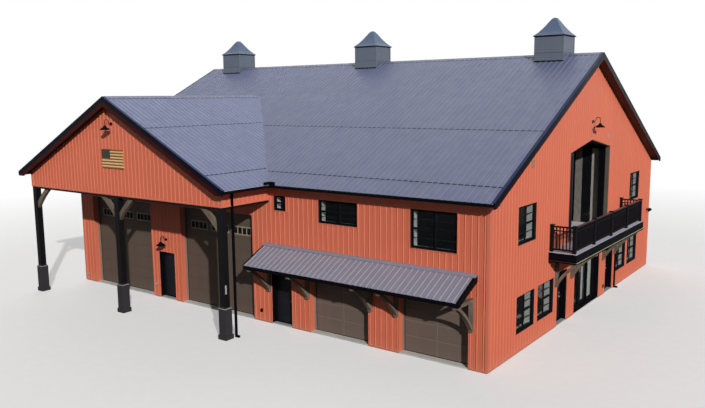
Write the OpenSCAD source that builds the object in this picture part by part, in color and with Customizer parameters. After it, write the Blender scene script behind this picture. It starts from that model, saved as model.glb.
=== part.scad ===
// Red post-frame barn: a gabled block with a gabled porch and an awning along the front,
// a balcony on the right gable, and three cupolas on the ridge.
// X runs along the main ridge, the front faces -Y, and Z is up.
// The origin is the middle of the main block's footprint at ground level.

/* [Main block] */
// Length of the block along the ridge, outside the walls
barn_length = 21336; // [21000:12:23400]
// Width of the block from the front wall to the back wall
barn_width = 18288; // [17700:12:19500]
// Thickness of the framed walls
wall_t = 300; // [240:10:340]
// Height of the roof surface above the outside of the long walls
heel_h = 5720; // [5650:5:6000]
// Rise of every roof over its run
pitch = 0.5; // [0.46:0.01:0.54]
// Thickness of the roofs, measured straight down
roof_t = 250; // [200:10:280]
// Level overhang at the eaves
eave_run = 450; // [420:10:560]
// Overhang past the gable walls
rake_run = 330; // [235:5:340]
// Height of the level soffit under the eaves
soffit_z = 5380; // [5330:5:5400]

/* [Floors] */
// Height of the concrete floor above the ground
slab_h = 50; // [30:5:60]
// Height of the loft floor and of the balcony deck
loft_z = 3050; // [3000:10:3120]
// Thickness of the loft floor
loft_t = 300; // [220:10:320]

/* [Porch] */
// Width of the porch along the front wall
porch_w = 12192; // [11900:12:12400]
// Depth of the porch in front of the wall
porch_d = 2438; // [2200:10:2800]
// Height of the lower edge of the porch walls
porch_clear = 4840; // [4700:10:4900]
// Side of the square posts
post_side = 250; // [200:10:280]
// Side of the metal guard round the foot of a post
guard_side = 340; // [310:10:380]
// Height of the post guard
guard_h = 1200; // [900:50:1400]
// Reach of the knee braces along the beam
knee_reach = 960; // [800:10:1050]

/* [Doors] */
// Width of the two tall overhead doors
tall_door_w = 4220; // [4000:10:4260]
// Height of the two tall overhead doors
tall_door_h = 4170; // [4000:10:4220]
// Distance of a tall door's middle from the porch middle
tall_door_offset = 3080; // [3000:10:3100]
// Width of the two low overhead doors
low_door_w = 2600; // [2440:10:2640]
// Height of the two low overhead doors
low_door_h = 2240; // [2160:10:2280]
// Width of a person door's rough opening
walk_door_w = 1010; // [960:5:1040]
// Height of the person doors and of the glass door
walk_door_h = 2080; // [2040:5:2100]
// Width of the glass sliding door
glass_door_w = 3020; // [2900:10:3060]
// Width of the tall opening above the balcony
loft_door_w = 4770; // [4600:10:4800]
// Height of the springing of the tall opening's gabled head
loft_door_spring = 6500; // [6400:10:6560]
// Rise of the tall opening's gabled head
loft_door_rise = 390; // [300:10:420]

/* [Windows] */
// Width of the gable windows
gable_win_w = 1490; // [1400:10:1520]
// Height of the head of the upper windows
upper_head = 5035; // [4980:5:5060]
// Height of the head of the lower windows
lower_head = 1990; // [1950:5:2000]
// Height of the gable windows
gable_win_h = 1290; // [1200:10:1300]
// Distance of the outer gable windows from the middle of the wall
outer_win = 6310; // [6200:10:6400]
// Distance of the inner gable windows from the middle of the wall
inner_win = 4505; // [4490:5:4560]

/* [Awning] */
// Length of the awning
awning_w = 9010; // [8800:10:9100]
// Depth of the awning in front of the wall
awning_d = 1219; // [1150:1:1260]
// Height of the awning's roof at the wall
awning_z = 3120; // [3090:5:3150]

/* [Balcony] */
// Width of the balcony along the gable
balcony_w = 8580; // [8400:10:8700]
// Depth of the balcony in front of the wall
balcony_d = 1030; // [950:10:1100]
// Depth of the deck with its edge boards
deck_t = 350; // [300:10:380]
// Height of the handrail above the deck
rail_h = 965; // [915:5:1070]
// Gap from one baluster's middle to the next
baluster_pitch = 125; // [110:1:140]

/* [Cupolas] */
// Side of a square cupola
cupola_side = 1200; // [1100:10:1300]
// Height of a cupola's eaves above the ridge
cupola_h = 715; // [650:5:760]
// Height of a cupola's swept roof
cupola_roof_h = 760; // [700:10:820]
// Distance between the cupolas
cupola_gap = 9000; // [8700:10:9100]

/* [Hidden] */

siding = "#c4583f";
roof_metal = "#6d738a";
trim = "#1c1e26";
timber = "#756a5e";
concrete = "#c9c5bd";
door_brown = "#5c5048";
cupola_grey = "#5f6b78";
pane = [0.35, 0.42, 0.45, 0.6];

// Solids meet face to face, and a cut runs this far past a face
cut = 20;

hl = barn_length / 2;
hw = barn_width / 2;
ridge_z = heel_h + pitch * hw;
porch_x0 = -hl;
porch_x1 = -hl + porch_w;
porch_mid = (porch_x0 + porch_x1) / 2;
porch_half = porch_w / 2;
porch_front = -hw - porch_d;
porch_ridge_z = heel_h + pitch * porch_half;
porch_wall_t = 150;

// Middles of the openings in the front wall
left_tall_x = porch_mid - tall_door_offset;
right_tall_x = porch_mid + tall_door_offset;
porch_door_x = porch_mid;
low_door_right_x = hl - 1970;
low_door_left_x = hl - 5855;
front_door_x = hl - 8585;

// Middles of the openings in the right gable
gable_door_y = 2855;

// [middle, width, sill height, head height] of each window, measured along its wall
front_windows = [
    [front_door_x, 580, upper_head - 560, upper_head],
    [low_door_left_x, 1720, upper_head - 840, upper_head],
    [low_door_right_x, 1730, upper_head - 1300, upper_head]
];
lower_gable_windows = [for (y = [-outer_win, -inner_win, inner_win, outer_win])
    [y, gable_win_w, lower_head - gable_win_h, lower_head]];
upper_gable_windows = [for (y = [-outer_win, outer_win])
    [y, gable_win_w, upper_head - gable_win_h, upper_head]];
left_windows = concat(
    [for (y = [-outer_win, outer_win]) [y, gable_win_w, lower_head - gable_win_h, lower_head]],
    upper_gable_windows);
back_windows = concat(
    [for (x = [low_door_left_x, low_door_right_x])
        [-x, gable_win_w, lower_head - gable_win_h, lower_head]],
    [for (x = [left_tall_x, right_tall_x, low_door_left_x, low_door_right_x])
        [-x, gable_win_w, upper_head - gable_win_h, upper_head]]);

// Depths in a wall, measured from its outer face
window_set = 40;
window_frame_t = 110;
window_bar = 60;
pane_t = 12;
leaf_t = 45;
leaf_out = 245;
jamb_t = 40;
jamb_out = 150;
stop_w = 15;
latch_gap = 8;
hinge_gap = 6;
sill_h = 20;
roller_t = 50;
roller_lap = 25;

// Height of the roof surface over a depth y of the block, and over a width x of the porch
function main_top(y) = heel_h + pitch * (hw - abs(y));
function porch_top(x) = heel_h + pitch * (porch_half - abs(x - porch_mid));

// Extrudes a profile drawn in (y, z) along X, or one drawn in (x, z) along Y
module along_x(x0, x1) {
    translate([x0, 0, 0]) rotate([90, 0, 90]) linear_extrude(x1 - x0) children();
}
module along_y(y0, y1) {
    translate([0, y1, 0]) rotate([90, 0, 0]) linear_extrude(y1 - y0) children();
}

// Places a piece drawn against the front wall, outward -Y, on each of the four walls
module on_front() {
    translate([0, -hw, 0]) children();
}
module on_right() {
    translate([hl, 0, 0]) rotate([0, 0, 90]) children();
}
module on_back() {
    translate([0, hw, 0]) rotate([0, 0, 180]) children();
}
module on_left() {
    translate([-hl, 0, 0]) rotate([0, 0, -90]) children();
}

module window_holes(windows) {
    for (w = windows)
        translate([w[0] - w[1] / 2, -cut, w[2]]) cube([w[1], wall_t + 2 * cut, w[3] - w[2]]);
}

// A piece of a wall that runs under the main roof, between two heights, drawn as on the front
module wall_piece(u0, u1, z0, z1) {
    translate([u0, 0, z0]) cube([u1 - u0, wall_t, z1 - z0]);
}

// The section of a long wall, from z0 up to the underside of the roof
module long_wall(x0, x1, z0) {
    top = heel_h - roof_t;
    along_x(x0, x1)
        polygon([[-hw, z0], [-hw + wall_t, z0], [-hw + wall_t, top + pitch * wall_t], [-hw, top]]);
}

// The outline of a gable wall between two depths, from z0 up to the underside of the roof
module gable_outline(y0, y1, z0) {
    mid = (y0 < 0 && y1 > 0) ? [[0, ridge_z - roof_t]] : [];
    polygon(concat([[y0, z0], [y1, z0], [y1, main_top(y1) - roof_t]], mid,
        [[y0, main_top(y0) - roof_t]]));
}

module floor_slab() {
    color(concrete) union() {
        translate([-hl + wall_t, -hw + wall_t, 0])
            cube([barn_length - 2 * wall_t, barn_width - 2 * wall_t, slab_h]);
        on_front() for (d = [[left_tall_x, tall_door_w], [right_tall_x, tall_door_w],
                [low_door_left_x, low_door_w], [low_door_right_x, low_door_w],
                [porch_door_x, walk_door_w], [front_door_x, walk_door_w]])
            translate([d[0] - d[1] / 2, 0, 0]) cube([d[1], wall_t + cut, slab_h]);
        on_right() for (d = [[-gable_door_y, walk_door_w], [gable_door_y, walk_door_w],
                [0, glass_door_w]])
            translate([d[0] - d[1] / 2, 0, 0]) cube([d[1], wall_t + cut, slab_h]);
    }
}

module loft_floor() {
    loft_x0 = porch_x1 - porch_wall_t;
    color("#b3a48f") translate([loft_x0, -hw + wall_t, loft_z - loft_t])
        cube([hl - wall_t - loft_x0, barn_width - 2 * wall_t, loft_t]);
}

module front_wall_piers() {
    tall_edges = [-hl, left_tall_x - tall_door_w / 2, left_tall_x + tall_door_w / 2,
        porch_door_x - walk_door_w / 2, porch_door_x + walk_door_w / 2,
        right_tall_x - tall_door_w / 2];
    low_edges = [right_tall_x + tall_door_w / 2,
        front_door_x - walk_door_w / 2, front_door_x + walk_door_w / 2,
        low_door_left_x - low_door_w / 2, low_door_left_x + low_door_w / 2,
        low_door_right_x - low_door_w / 2, low_door_right_x + low_door_w / 2, hl];
    color(siding) on_front() {
        for (i = [0:2:4]) wall_piece(tall_edges[i], tall_edges[i + 1], 0, tall_door_h);
        for (i = [0:2:6]) wall_piece(low_edges[i], low_edges[i + 1], 0, low_door_h);
    }
}

module front_wall_door_heads() {
    color(siding) on_front() {
        wall_piece(porch_door_x - walk_door_w / 2, porch_door_x + walk_door_w / 2,
            walk_door_h, tall_door_h);
        wall_piece(front_door_x - walk_door_w / 2, front_door_x + walk_door_w / 2,
            walk_door_h, low_door_h);
    }
}

module front_wall_porch_band() {
    color(siding) long_wall(-hl, right_tall_x + tall_door_w / 2, tall_door_h);
}

module front_wall_upper() {
    color(siding) difference() {
        long_wall(right_tall_x + tall_door_w / 2, hl, low_door_h);
        on_front() window_holes(front_windows);
    }
}

module right_wall_lower() {
    near = hw - wall_t;
    color(siding) on_right() difference() {
        union() {
            wall_piece(-near, -gable_door_y - walk_door_w / 2, 0, walk_door_h);
            wall_piece(-gable_door_y + walk_door_w / 2, -glass_door_w / 2, 0, walk_door_h);
            wall_piece(glass_door_w / 2, gable_door_y - walk_door_w / 2, 0, walk_door_h);
            wall_piece(gable_door_y + walk_door_w / 2, near, 0, walk_door_h);
        }
        window_holes(lower_gable_windows);
    }
}

module right_wall_sides() {
    color(siding) difference() {
        along_x(hl - wall_t, hl) {
            gable_outline(-hw + wall_t, -loft_door_w / 2, walk_door_h);
            gable_outline(loft_door_w / 2, hw - wall_t, walk_door_h);
        }
        on_right() window_holes(upper_gable_windows);
    }
}

module right_wall_band() {
    color(siding) on_right()
        wall_piece(-loft_door_w / 2, loft_door_w / 2, walk_door_h, loft_z);
}

module right_wall_head() {
    half = loft_door_w / 2;
    color(siding) along_x(hl - wall_t, hl) polygon([
        [-half, loft_door_spring], [0, loft_door_spring + loft_door_rise], [half, loft_door_spring],
        [half, main_top(half) - roof_t], [0, ridge_z - roof_t], [-half, main_top(half) - roof_t]]);
}

module back_wall() {
    color(siding) difference() {
        mirror([0, 1, 0]) long_wall(-hl, hl, 0);
        on_back() window_holes(back_windows);
    }
}

module left_wall() {
    color(siding) difference() {
        along_x(-hl, -hl + wall_t) gable_outline(-hw + wall_t, hw - wall_t, 0);
        on_left() window_holes(left_windows);
    }
}

// Half of a gabled roof in section, with a level soffit boxed in under its eave
module half_roof_section(half, top_z) {
    polygon([[0, top_z], [half + eave_run, heel_h - pitch * eave_run], [half + eave_run, soffit_z],
        [half, soffit_z], [half, heel_h - roof_t], [0, top_z - roof_t]]);
}

// What the porch roof takes out of the front eave: it widens at 45 degrees from the porch's corners
module porch_mitre(z0, z1) {
    wide = 3 * eave_run;
    translate([0, 0, z0]) linear_extrude(z1 - z0)
        polygon([[porch_x0, -hw], [porch_x0 - wide, -hw - wide], [porch_x1 + wide, -hw - wide],
            [porch_x1, -hw]]);
}

module main_roof_front() {
    color(roof_metal) difference() {
        along_x(-hl - rake_run, hl + rake_run) mirror([1, 0]) half_roof_section(hw, ridge_z);
        porch_mitre(porch_clear, heel_h + roof_t);
    }
}

module main_roof_back() {
    color(roof_metal) along_x(-hl - rake_run, hl + rake_run) half_roof_section(hw, ridge_z);
}

// A folded cap that lies on a ridge, in section
cap_w = 190;
cap_t = 25;
module cap_section(top_z) {
    polygon([[-cap_w, top_z - pitch * cap_w], [0, top_z], [cap_w, top_z - pitch * cap_w],
        [cap_w, top_z - pitch * cap_w + cap_t], [0, top_z + cap_t],
        [-cap_w, top_z - pitch * cap_w + cap_t]]);
}

module main_ridge_cap() {
    ends = [-hl - rake_run + rake_lap,
        -cupola_gap - cupola_side / 2, -cupola_gap + cupola_side / 2,
        -cupola_side / 2, cupola_side / 2,
        cupola_gap - cupola_side / 2, cupola_gap + cupola_side / 2,
        hl + rake_run - rake_lap];
    color(roof_metal) for (i = [0:2:6]) along_x(ends[i], ends[i + 1]) cap_section(ridge_z);
}

// Rake boards: a deep board on the verge and a flange that laps onto the roof.
// Each slope has its own board, and the two are butted under the ridge cap.
rake_board_t = 32;
rake_board_h = 250;
porch_rake_board_h = 370;
rake_lap = 80;
rake_lap_t = 20;
rake_foot = 60;
butt_gap = 2;
module rake_boards_on(half, top_z, board_h) {
    // the verge is at y = 0 and the roof lies behind it, towards +Y
    for (side = [-1, 1]) scale([side, 1, 1]) {
        along_y(-rake_board_t, 0) rake_strip(half, top_z, -board_h, rake_lap_t);
        along_y(-rake_board_t, rake_lap) rake_strip(half, top_z, 0, rake_lap_t);
    }
}
module rake_strip(half, top_z, low, high) {
    run = half + eave_run;
    near = butt_gap / 2;
    polygon([[near, top_z - pitch * near + low], [run, top_z - pitch * run + low],
        [run, top_z - pitch * run + high], [near, top_z - pitch * near + high]]);
}

module rake_boards() {
    // the lower ends are cut level, a little under the soffit
    color(trim) difference() {
        union() {
            translate([hl + rake_run, 0, 0]) rotate([0, 0, 90])
                rake_boards_on(hw, ridge_z, rake_board_h);
            difference() {
                translate([-hl - rake_run, 0, 0]) rotate([0, 0, -90])
                    rake_boards_on(hw, ridge_z, rake_board_h);
                porch_mitre(porch_clear, heel_h + roof_t);
            }
            translate([porch_mid, porch_front - rake_run, 0])
                rake_boards_on(porch_half, porch_ridge_z, porch_rake_board_h);
        }
        translate([-2 * hl, -2 * hw, 0]) cube([4 * hl, 4 * hw, soffit_z - rake_foot]);
    }
}

// One slope of the porch roof: it lies on the main roof behind the wall line,
// and meets the main eave in a mitre in front of it
module porch_slope(side) {
    y0 = porch_front - rake_run;
    y1 = -hw + porch_half;
    wide = 3 * eave_run;
    color(roof_metal) difference() {
        along_y(y0, y1) translate([porch_mid, 0]) scale([side, 1])
            half_roof_section(porch_half, porch_ridge_z);
        // the main roof and all that is under it
        along_x(-hl - wide, hl) polygon([[-hw, 0], [0, 0], [0, ridge_z], [-hw, heel_h]]);
        // the main eave beside the mitre
        translate([porch_mid, 0, porch_clear]) scale([side, 1, 1])
            linear_extrude(heel_h) polygon([[porch_half, -hw], [porch_half + wide, -hw - wide],
                [porch_half + wide, -hw]]);
    }
}

module porch_roof_left() {
    porch_slope(-1);
}

module porch_roof_right() {
    porch_slope(1);
}

module porch_ridge_cap() {
    // the cap stops short of the main roof, where the two surfaces meet
    color(roof_metal) along_y(porch_front - rake_run + rake_lap, -hw + porch_half - 3 * cap_w)
        translate([porch_mid, 0]) cap_section(porch_ridge_z);
}

module porch_gable() {
    under = heel_h - roof_t;
    color(siding) along_y(porch_front, porch_front + porch_wall_t)
        polygon([[porch_x0, porch_clear], [porch_x1, porch_clear], [porch_x1, under],
            [porch_mid, porch_ridge_z - roof_t], [porch_x0, under]]);
}

module porch_side_walls() {
    under = heel_h - roof_t;
    color(siding) for (side = [-1, 1])
        along_y(porch_front + porch_wall_t, -hw) translate([porch_mid, 0]) scale([side, 1])
            polygon([[porch_half - porch_wall_t, porch_clear], [porch_half, porch_clear],
                [porch_half, under], [porch_half - porch_wall_t, under + pitch * porch_wall_t]]);
}

module porch_ceiling() {
    color("#4a443f") translate([porch_x0 + porch_wall_t, porch_front + porch_wall_t, porch_clear])
        cube([porch_w - 2 * porch_wall_t, porch_d - porch_wall_t, 30]);
}

// The posts stand flush with the outside of the porch walls
post_y = porch_front + post_side / 2;
post_xs = [porch_x0 + post_side / 2, porch_mid, porch_x1 - post_side / 2];
plinth_h = 170;
plinth_side = guard_side + 60;

// The posts carry a beam along the front and one along each side, under the porch walls
beam_h = 85;
beam_z = porch_clear - beam_h;
module porch_posts() {
    color(trim) {
        for (x = post_xs)
            translate([x - post_side / 2, post_y - post_side / 2, 0])
                cube([post_side, post_side, beam_z]);
        translate([porch_x0, porch_front, beam_z]) cube([porch_w, post_side, beam_h]);
        for (x = [porch_x0, porch_x1 - post_side])
            translate([x, porch_front + post_side, beam_z])
                cube([post_side, porch_d - post_side, beam_h]);
    }
}

// A guard: a square sleeve with a wider plinth at its foot and a sloped top edge
module post_guard() {
    slope = (guard_side - post_side) / 2;
    difference() {
        union() {
            translate([-guard_side / 2, -guard_side / 2, 0]) cube([guard_side, guard_side, guard_h]);
            translate([-plinth_side / 2, -plinth_side / 2, 0])
                cube([plinth_side, plinth_side, plinth_h]);
        }
        translate([-post_side / 2, -post_side / 2, -cut])
            cube([post_side, post_side, guard_h + 2 * cut]);
        for (a = [0:90:270]) rotate([0, 0, a])
            translate([guard_side / 2, 0, guard_h]) rotate([90, 0, 0])
                linear_extrude(2 * guard_side, center = true)
                    polygon([[-slope, 1], [1, 1], [1, -slope]]);
    }
}

module porch_post_guards() {
    color(trim) for (x = post_xs) translate([x, post_y, 0]) post_guard();
}

// A brace from a beam (y = 0) down to an upright (x = 0), in section.
// Both of its edges are arcs about one point, so that it bows towards the corner by sag.
module bowed_brace(reach, drop, depth, sag) {
    chord = sqrt(reach * reach + drop * drop);
    r = chord * chord / (8 * sag) + sag / 2;
    intersection() {
        translate([0, -drop]) square([reach, drop]);
        translate([reach / 2 + (r - sag) * drop / chord, -drop / 2 - (r - sag) * reach / chord])
            difference() {
                circle(r = r + depth, $fn = 240);
                circle(r = r, $fn = 240);
            }
    }
}

module porch_knee_braces() {
    knee_t = 140;
    knee_drop = knee_reach - 55;
    knee_depth = 190;
    knee_sag = 45;
    module knee(x, side) {
        along_y(post_y - knee_t / 2, post_y + knee_t / 2)
            translate([x + side * post_side / 2, beam_z]) scale([side, 1])
                bowed_brace(knee_reach, knee_drop, knee_depth, knee_sag);
    }
    color(timber) {
        knee(post_xs[0], 1);
        knee(post_xs[1], -1);
        knee(post_xs[1], 1);
        knee(post_xs[2], -1);
    }
}

// Gutters: an open trough with closed ends under the edge of each eave
gutter_w = 70;
gutter_h = 100;
gutter_wall = 6;
module gutter(x0, y0, x1, y1) {
    difference() {
        translate([x0, y0, 0]) cube([x1 - x0, y1 - y0, gutter_h]);
        translate([x0 + gutter_wall, y0 + gutter_wall, gutter_wall])
            cube([x1 - x0 - 2 * gutter_wall, y1 - y0 - 2 * gutter_wall, gutter_h]);
    }
}

module gutters() {
    eave_y = hw + eave_run;
    eave_x = porch_half + eave_run;
    right_x = porch_mid + eave_x;
    left_x = porch_mid - eave_x;
    end_x = hl + rake_run;
    porch_end = porch_front - rake_run;
    color(trim) translate([0, 0, heel_h - pitch * eave_run - 10 - gutter_h]) {
        gutter(right_x, -eave_y - gutter_w, end_x, -eave_y);
        gutter(right_x, porch_end, right_x + gutter_w, -eave_y - gutter_w - butt_gap);
        gutter(left_x - gutter_w, porch_end, left_x, -eave_y);
        gutter(-end_x, eave_y, end_x, eave_y + gutter_w);
    }
}

// Downspouts: one beside the right porch post, one from the balcony, two at the back corners
spout = 75;
module downspouts() {
    color(trim) {
        translate([porch_x1, -hw - 1990, 0]) {
            cube([spout, spout, soffit_z]);
            cube([spout + 120, spout, spout]);
        }
        translate([hl, 3640, 0]) {
            cube([spout, spout, loft_z - deck_t]);
            cube([spout + 120, spout, spout]);
        }
        for (x = [-hl + 200, hl - 200 - spout]) translate([x, hw, 0])
            cube([spout, spout, soffit_z]);
    }
}

// The awning's roof with a deep edge board, and the ledge it hangs from
awning_x0 = hl - 380 - awning_w;
awning_edge = 130;
module awning_roof() {
    front_z = awning_z - pitch * awning_d;
    color(roof_metal) translate([0, -hw, 0]) along_x(awning_x0, awning_x0 + awning_w) polygon([
        [0, awning_z], [-awning_d, front_z], [-awning_d, front_z - awning_edge],
        [-awning_d + 60, front_z - awning_edge], [-awning_d + 60, front_z - awning_edge + 60],
        [0, awning_z - awning_edge + 30]]);
}

// A timber bracket: a leg on the wall, an arm under the load and a brace between them,
// in section with the wall at x = 0 and the load at y = 0.
// The brace stops a little short of the arm's end and of the leg's foot.
brace_depth = 100;
brace_sag = 70;
brace_share = 0.94;
module bracket_section(reach, drop, bar) {
    translate([0, -drop]) square([bar, drop]);
    translate([bar, -bar]) square([reach - bar, bar]);
    translate([bar, -bar])
        bowed_brace((reach - bar) * brace_share, (drop - bar) * brace_share, brace_depth, brace_sag);
}

bracket_t = 140;
bracket_bar = 110;
module awning_brackets() {
    top = awning_z - pitch * awning_d - awning_edge;
    xs = [front_door_x - 620, low_door_left_x - 1410, low_door_left_x + 1410,
        low_door_right_x - 1410, low_door_right_x + 1410];
    color(timber) for (x = xs)
        translate([x + bracket_t / 2, -hw, top]) rotate([90, 0, -90]) linear_extrude(bracket_t)
            bracket_section(awning_d - 60, 1090, bracket_bar);
}

// The deck's edge boards end in a drip strip that stands out past them
deck_board_t = 60;
deck_floor_t = 100;
drip_h = 50;
drip_out = 35;
module balcony_deck() {
    half = balcony_w / 2;
    color(trim) translate([hl, -half, loft_z - deck_t]) difference() {
        union() {
            cube([balcony_d, balcony_w, deck_t]);
            translate([0, -drip_out, 0]) cube([balcony_d + drip_out, balcony_w + 2 * drip_out, drip_h]);
        }
        translate([deck_board_t, deck_board_t, -cut])
            cube([balcony_d - 2 * deck_board_t, balcony_w - 2 * deck_board_t,
                deck_t - deck_floor_t + cut]);
    }
}

rail_post = 120;
rail_set = 70;
post_line = balcony_d - rail_set - rail_post / 2;
rail_span = balcony_w - 2 * rail_set - rail_post;
module balcony_posts() {
    cap = 165;
    cap_h = 30;
    above_rail = 20;
    places = concat([for (i = [0:4]) [post_line, -rail_span / 2 + i * rail_span / 4]],
        [[rail_post / 2, -rail_span / 2], [rail_post / 2, rail_span / 2]]);
    color(trim) for (p = places) translate([hl + p[0], p[1], loft_z]) {
        translate([-rail_post / 2, -rail_post / 2, 0])
            cube([rail_post, rail_post, rail_h + above_rail]);
        cap_x = (p[0] > rail_post) ? -cap / 2 : -rail_post / 2;
        translate([cap_x, -cap / 2, rail_h + above_rail]) cube([cap / 2 - cap_x, cap, cap_h]);
    }
}

// One bay of railing along X from 0: handrail, bottom rail and square balusters
module rail_bay(length) {
    bar = 38;
    count = floor(length / baluster_pitch);
    start = (length - (count - 1) * baluster_pitch) / 2;
    translate([0, -45, rail_h - 50]) cube([length, 90, 50]);
    translate([0, -25, 80]) cube([length, 50, 60]);
    translate([0, -20, rail_h - 190]) cube([length, 40, 40]);
    for (i = [0:count - 1])
        translate([start + i * baluster_pitch - bar / 2, -bar / 2, 100])
            cube([bar, bar, rail_h - 110]);
}

module balcony_rails() {
    bay = rail_span / 4 - rail_post;
    side_bay = post_line - 3 * rail_post / 2;
    color(trim) translate([hl, 0, loft_z]) {
        for (i = [0:3])
            translate([post_line, -rail_span / 2 + i * rail_span / 4 + rail_post / 2, 0])
                rotate([0, 0, 90]) rail_bay(bay);
        for (y = [-rail_span / 2, rail_span / 2])
            translate([rail_post, y, 0]) rail_bay(side_bay);
    }
}

module balcony_brackets() {
    color(timber) for (y = [-3550, -1900, 1900, 3500])
        translate([hl, y + bracket_t / 2, loft_z - deck_t]) rotate([90, 0, 0])
            linear_extrude(bracket_t) bracket_section(balcony_d - 30, 1090, bracket_bar);
}

cupola_xs = [-cupola_gap, 0, cupola_gap];
cupola_wall = 60;
module cupola_bodies() {
    half = cupola_side / 2;
    top = ridge_z + cupola_h;
    color(cupola_grey) for (x = cupola_xs) difference() {
        translate([x - half, -half, ridge_z - pitch * half])
            cube([cupola_side, cupola_side, top - ridge_z + pitch * half]);
        translate([x - half + cupola_wall, -half + cupola_wall, 0])
            cube([cupola_side - 2 * cupola_wall, cupola_side - 2 * cupola_wall, 2 * top]);
        // the notch that sits astride the ridge
        along_x(x - cupola_side, x + cupola_side)
            polygon([[-cupola_side, 0], [cupola_side, 0], [cupola_side, ridge_z - pitch * cupola_side],
                [0, ridge_z], [-cupola_side, ridge_z - pitch * cupola_side]]);
    }
}

// The swept roof: where two extrusions of one concave outline cross, four curved hips form
module swept_outline() {
    half = cupola_side / 2 + 55;
    steps = 9;
    // a quarter of a flattened circle: steep at the peak and nearly level at the eaves
    side = [for (i = [0:steps]) let (a = 90 * i / steps)
        [half - (half - 35) * sin(a), 25 + (cupola_roof_h - 25) * (1 - cos(a)) * 0.45
            + (cupola_roof_h - 25) * 0.55 * i / steps]];
    polygon(concat([[half, 0]], side, [for (i = [steps:-1:0]) [-side[i][0], side[i][1]]],
        [[-half, 0]]));
}

module cupola_roofs() {
    half = cupola_side / 2 + 100;
    color(cupola_grey) for (x = cupola_xs) translate([x, 0, ridge_z + cupola_h]) intersection() {
        along_y(-half, half) swept_outline();
        along_x(-half, half) swept_outline();
    }
}

// Overhead doors stand behind their openings, against the inside of the wall
pane_row_z = 3250;
pane_row_h = 340;
pane_row_w = 1000;
pane_rows = [-1255, 0, 1255];
module roller_door(x, w, h) {
    translate([x - w / 2 - roller_lap, wall_t, slab_h])
        cube([w + 2 * roller_lap, roller_t, h + roller_lap - slab_h]);
}

module tall_overhead_doors() {
    color(door_brown) on_front() for (x = [left_tall_x, right_tall_x]) difference() {
        roller_door(x, tall_door_w, tall_door_h);
        for (c = pane_rows) translate([x + c - pane_row_w / 2, wall_t - cut, pane_row_z])
            cube([pane_row_w, roller_t + 2 * cut, pane_row_h]);
    }
}

module tall_door_glass() {
    color(pane) on_front() for (x = [left_tall_x, right_tall_x], c = pane_rows)
        translate([x + c - pane_row_w / 2, wall_t + (roller_t - pane_t) / 2, pane_row_z])
            cube([pane_row_w, pane_t, pane_row_h]);
}

module low_overhead_doors() {
    color(door_brown) on_front() for (x = [low_door_left_x, low_door_right_x])
        roller_door(x, low_door_w, low_door_h);
}

// One side of a door frame, with the stop that the closed leaf rests near
module jamb(side) {
    scale([side, 1, 1]) {
        translate([0, jamb_out, slab_h]) cube([jamb_t, wall_t - 10 - jamb_out, walk_door_h - slab_h]);
        translate([jamb_t, jamb_out, slab_h])
            cube([stop_w, leaf_out - 10 - jamb_out, walk_door_h - slab_h]);
    }
}

module jamb_pair(w) {
    translate([-w / 2, 0, 0]) jamb(1);
    translate([w / 2, 0, 0]) jamb(-1);
}

// Butt hinges: each knuckle of the leaf turns between two that stand on the jamb
hinge_zs = [300, 1050, 1800];
knuckle_d = 14;
knuckle_h = 40;
knuckle_gap = 1;
hinge_plate_w = 28;
hinge_plate_t = 3;
pin_x = -walk_door_w / 2 + jamb_t + hinge_gap / 2;
pin_y = leaf_out + leaf_t + 8;
module knuckle(z, plate_x) {
    translate([pin_x, pin_y, z]) cylinder(d = knuckle_d, h = knuckle_h, $fn = 32);
    translate([plate_x, leaf_out + leaf_t, z]) cube([hinge_plate_w, hinge_plate_t, knuckle_h]);
}
module jamb_knuckles() {
    for (z = hinge_zs, step = [-1, 1])
        knuckle(z + step * (knuckle_h + knuckle_gap), pin_x - hinge_plate_w);
}
module leaf_knuckles() {
    for (z = hinge_zs) knuckle(z, pin_x);
}

module person_door_jambs() {
    jamb_pair(walk_door_w);
    jamb_knuckles();
}

module door_jambs() {
    color(trim) {
        on_front() for (x = [porch_door_x, front_door_x])
            translate([x, 0, 0]) person_door_jambs();
        on_right() {
            for (y = [-gable_door_y, gable_door_y]) translate([y, 0, 0]) person_door_jambs();
            for (side = [-1, 1]) scale([side, 1, 1])
                translate([glass_door_w / 2 - jamb_t, jamb_out - 30, slab_h])
                    cube([jamb_t, wall_t - 10 - jamb_out + 30, walk_door_h - slab_h]);
        }
    }
}

module head_and_sill(w, out) {
    clear_w = w - 2 * jamb_t;
    translate([-clear_w / 2, out, walk_door_h - jamb_t])
        cube([clear_w, wall_t - 10 - out, jamb_t]);
    translate([-clear_w / 2, out, slab_h]) cube([clear_w, wall_t - 10 - out, sill_h]);
}

module door_heads_and_sills() {
    color(trim) {
        on_front() for (x = [porch_door_x, front_door_x])
            translate([x, 0, 0]) walk_head_and_sill();
        on_right() {
            for (y = [-gable_door_y, gable_door_y]) translate([y, 0, 0]) walk_head_and_sill();
            head_and_sill(glass_door_w, jamb_out - 30);
        }
    }
}

// Between the jambs of a person door: the stop in front of the leaf stands past the head and the sill
module walk_head_and_sill() {
    clear_w = walk_door_w - 2 * jamb_t;
    stop_y = leaf_out - 10;
    translate([-clear_w / 2 + stop_w, jamb_out, walk_door_h - jamb_t - stop_w])
        cube([clear_w - 2 * stop_w, stop_y - jamb_out, jamb_t + stop_w]);
    translate([-clear_w / 2, stop_y, walk_door_h - jamb_t])
        cube([clear_w, wall_t - 10 - stop_y, jamb_t]);
    translate([-clear_w / 2 + stop_w, jamb_out, slab_h])
        cube([clear_w - 2 * stop_w, stop_y - jamb_out, sill_h + stop_w]);
    translate([-clear_w / 2, stop_y, slab_h]) cube([clear_w, wall_t - 10 - stop_y, sill_h]);
}

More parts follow.
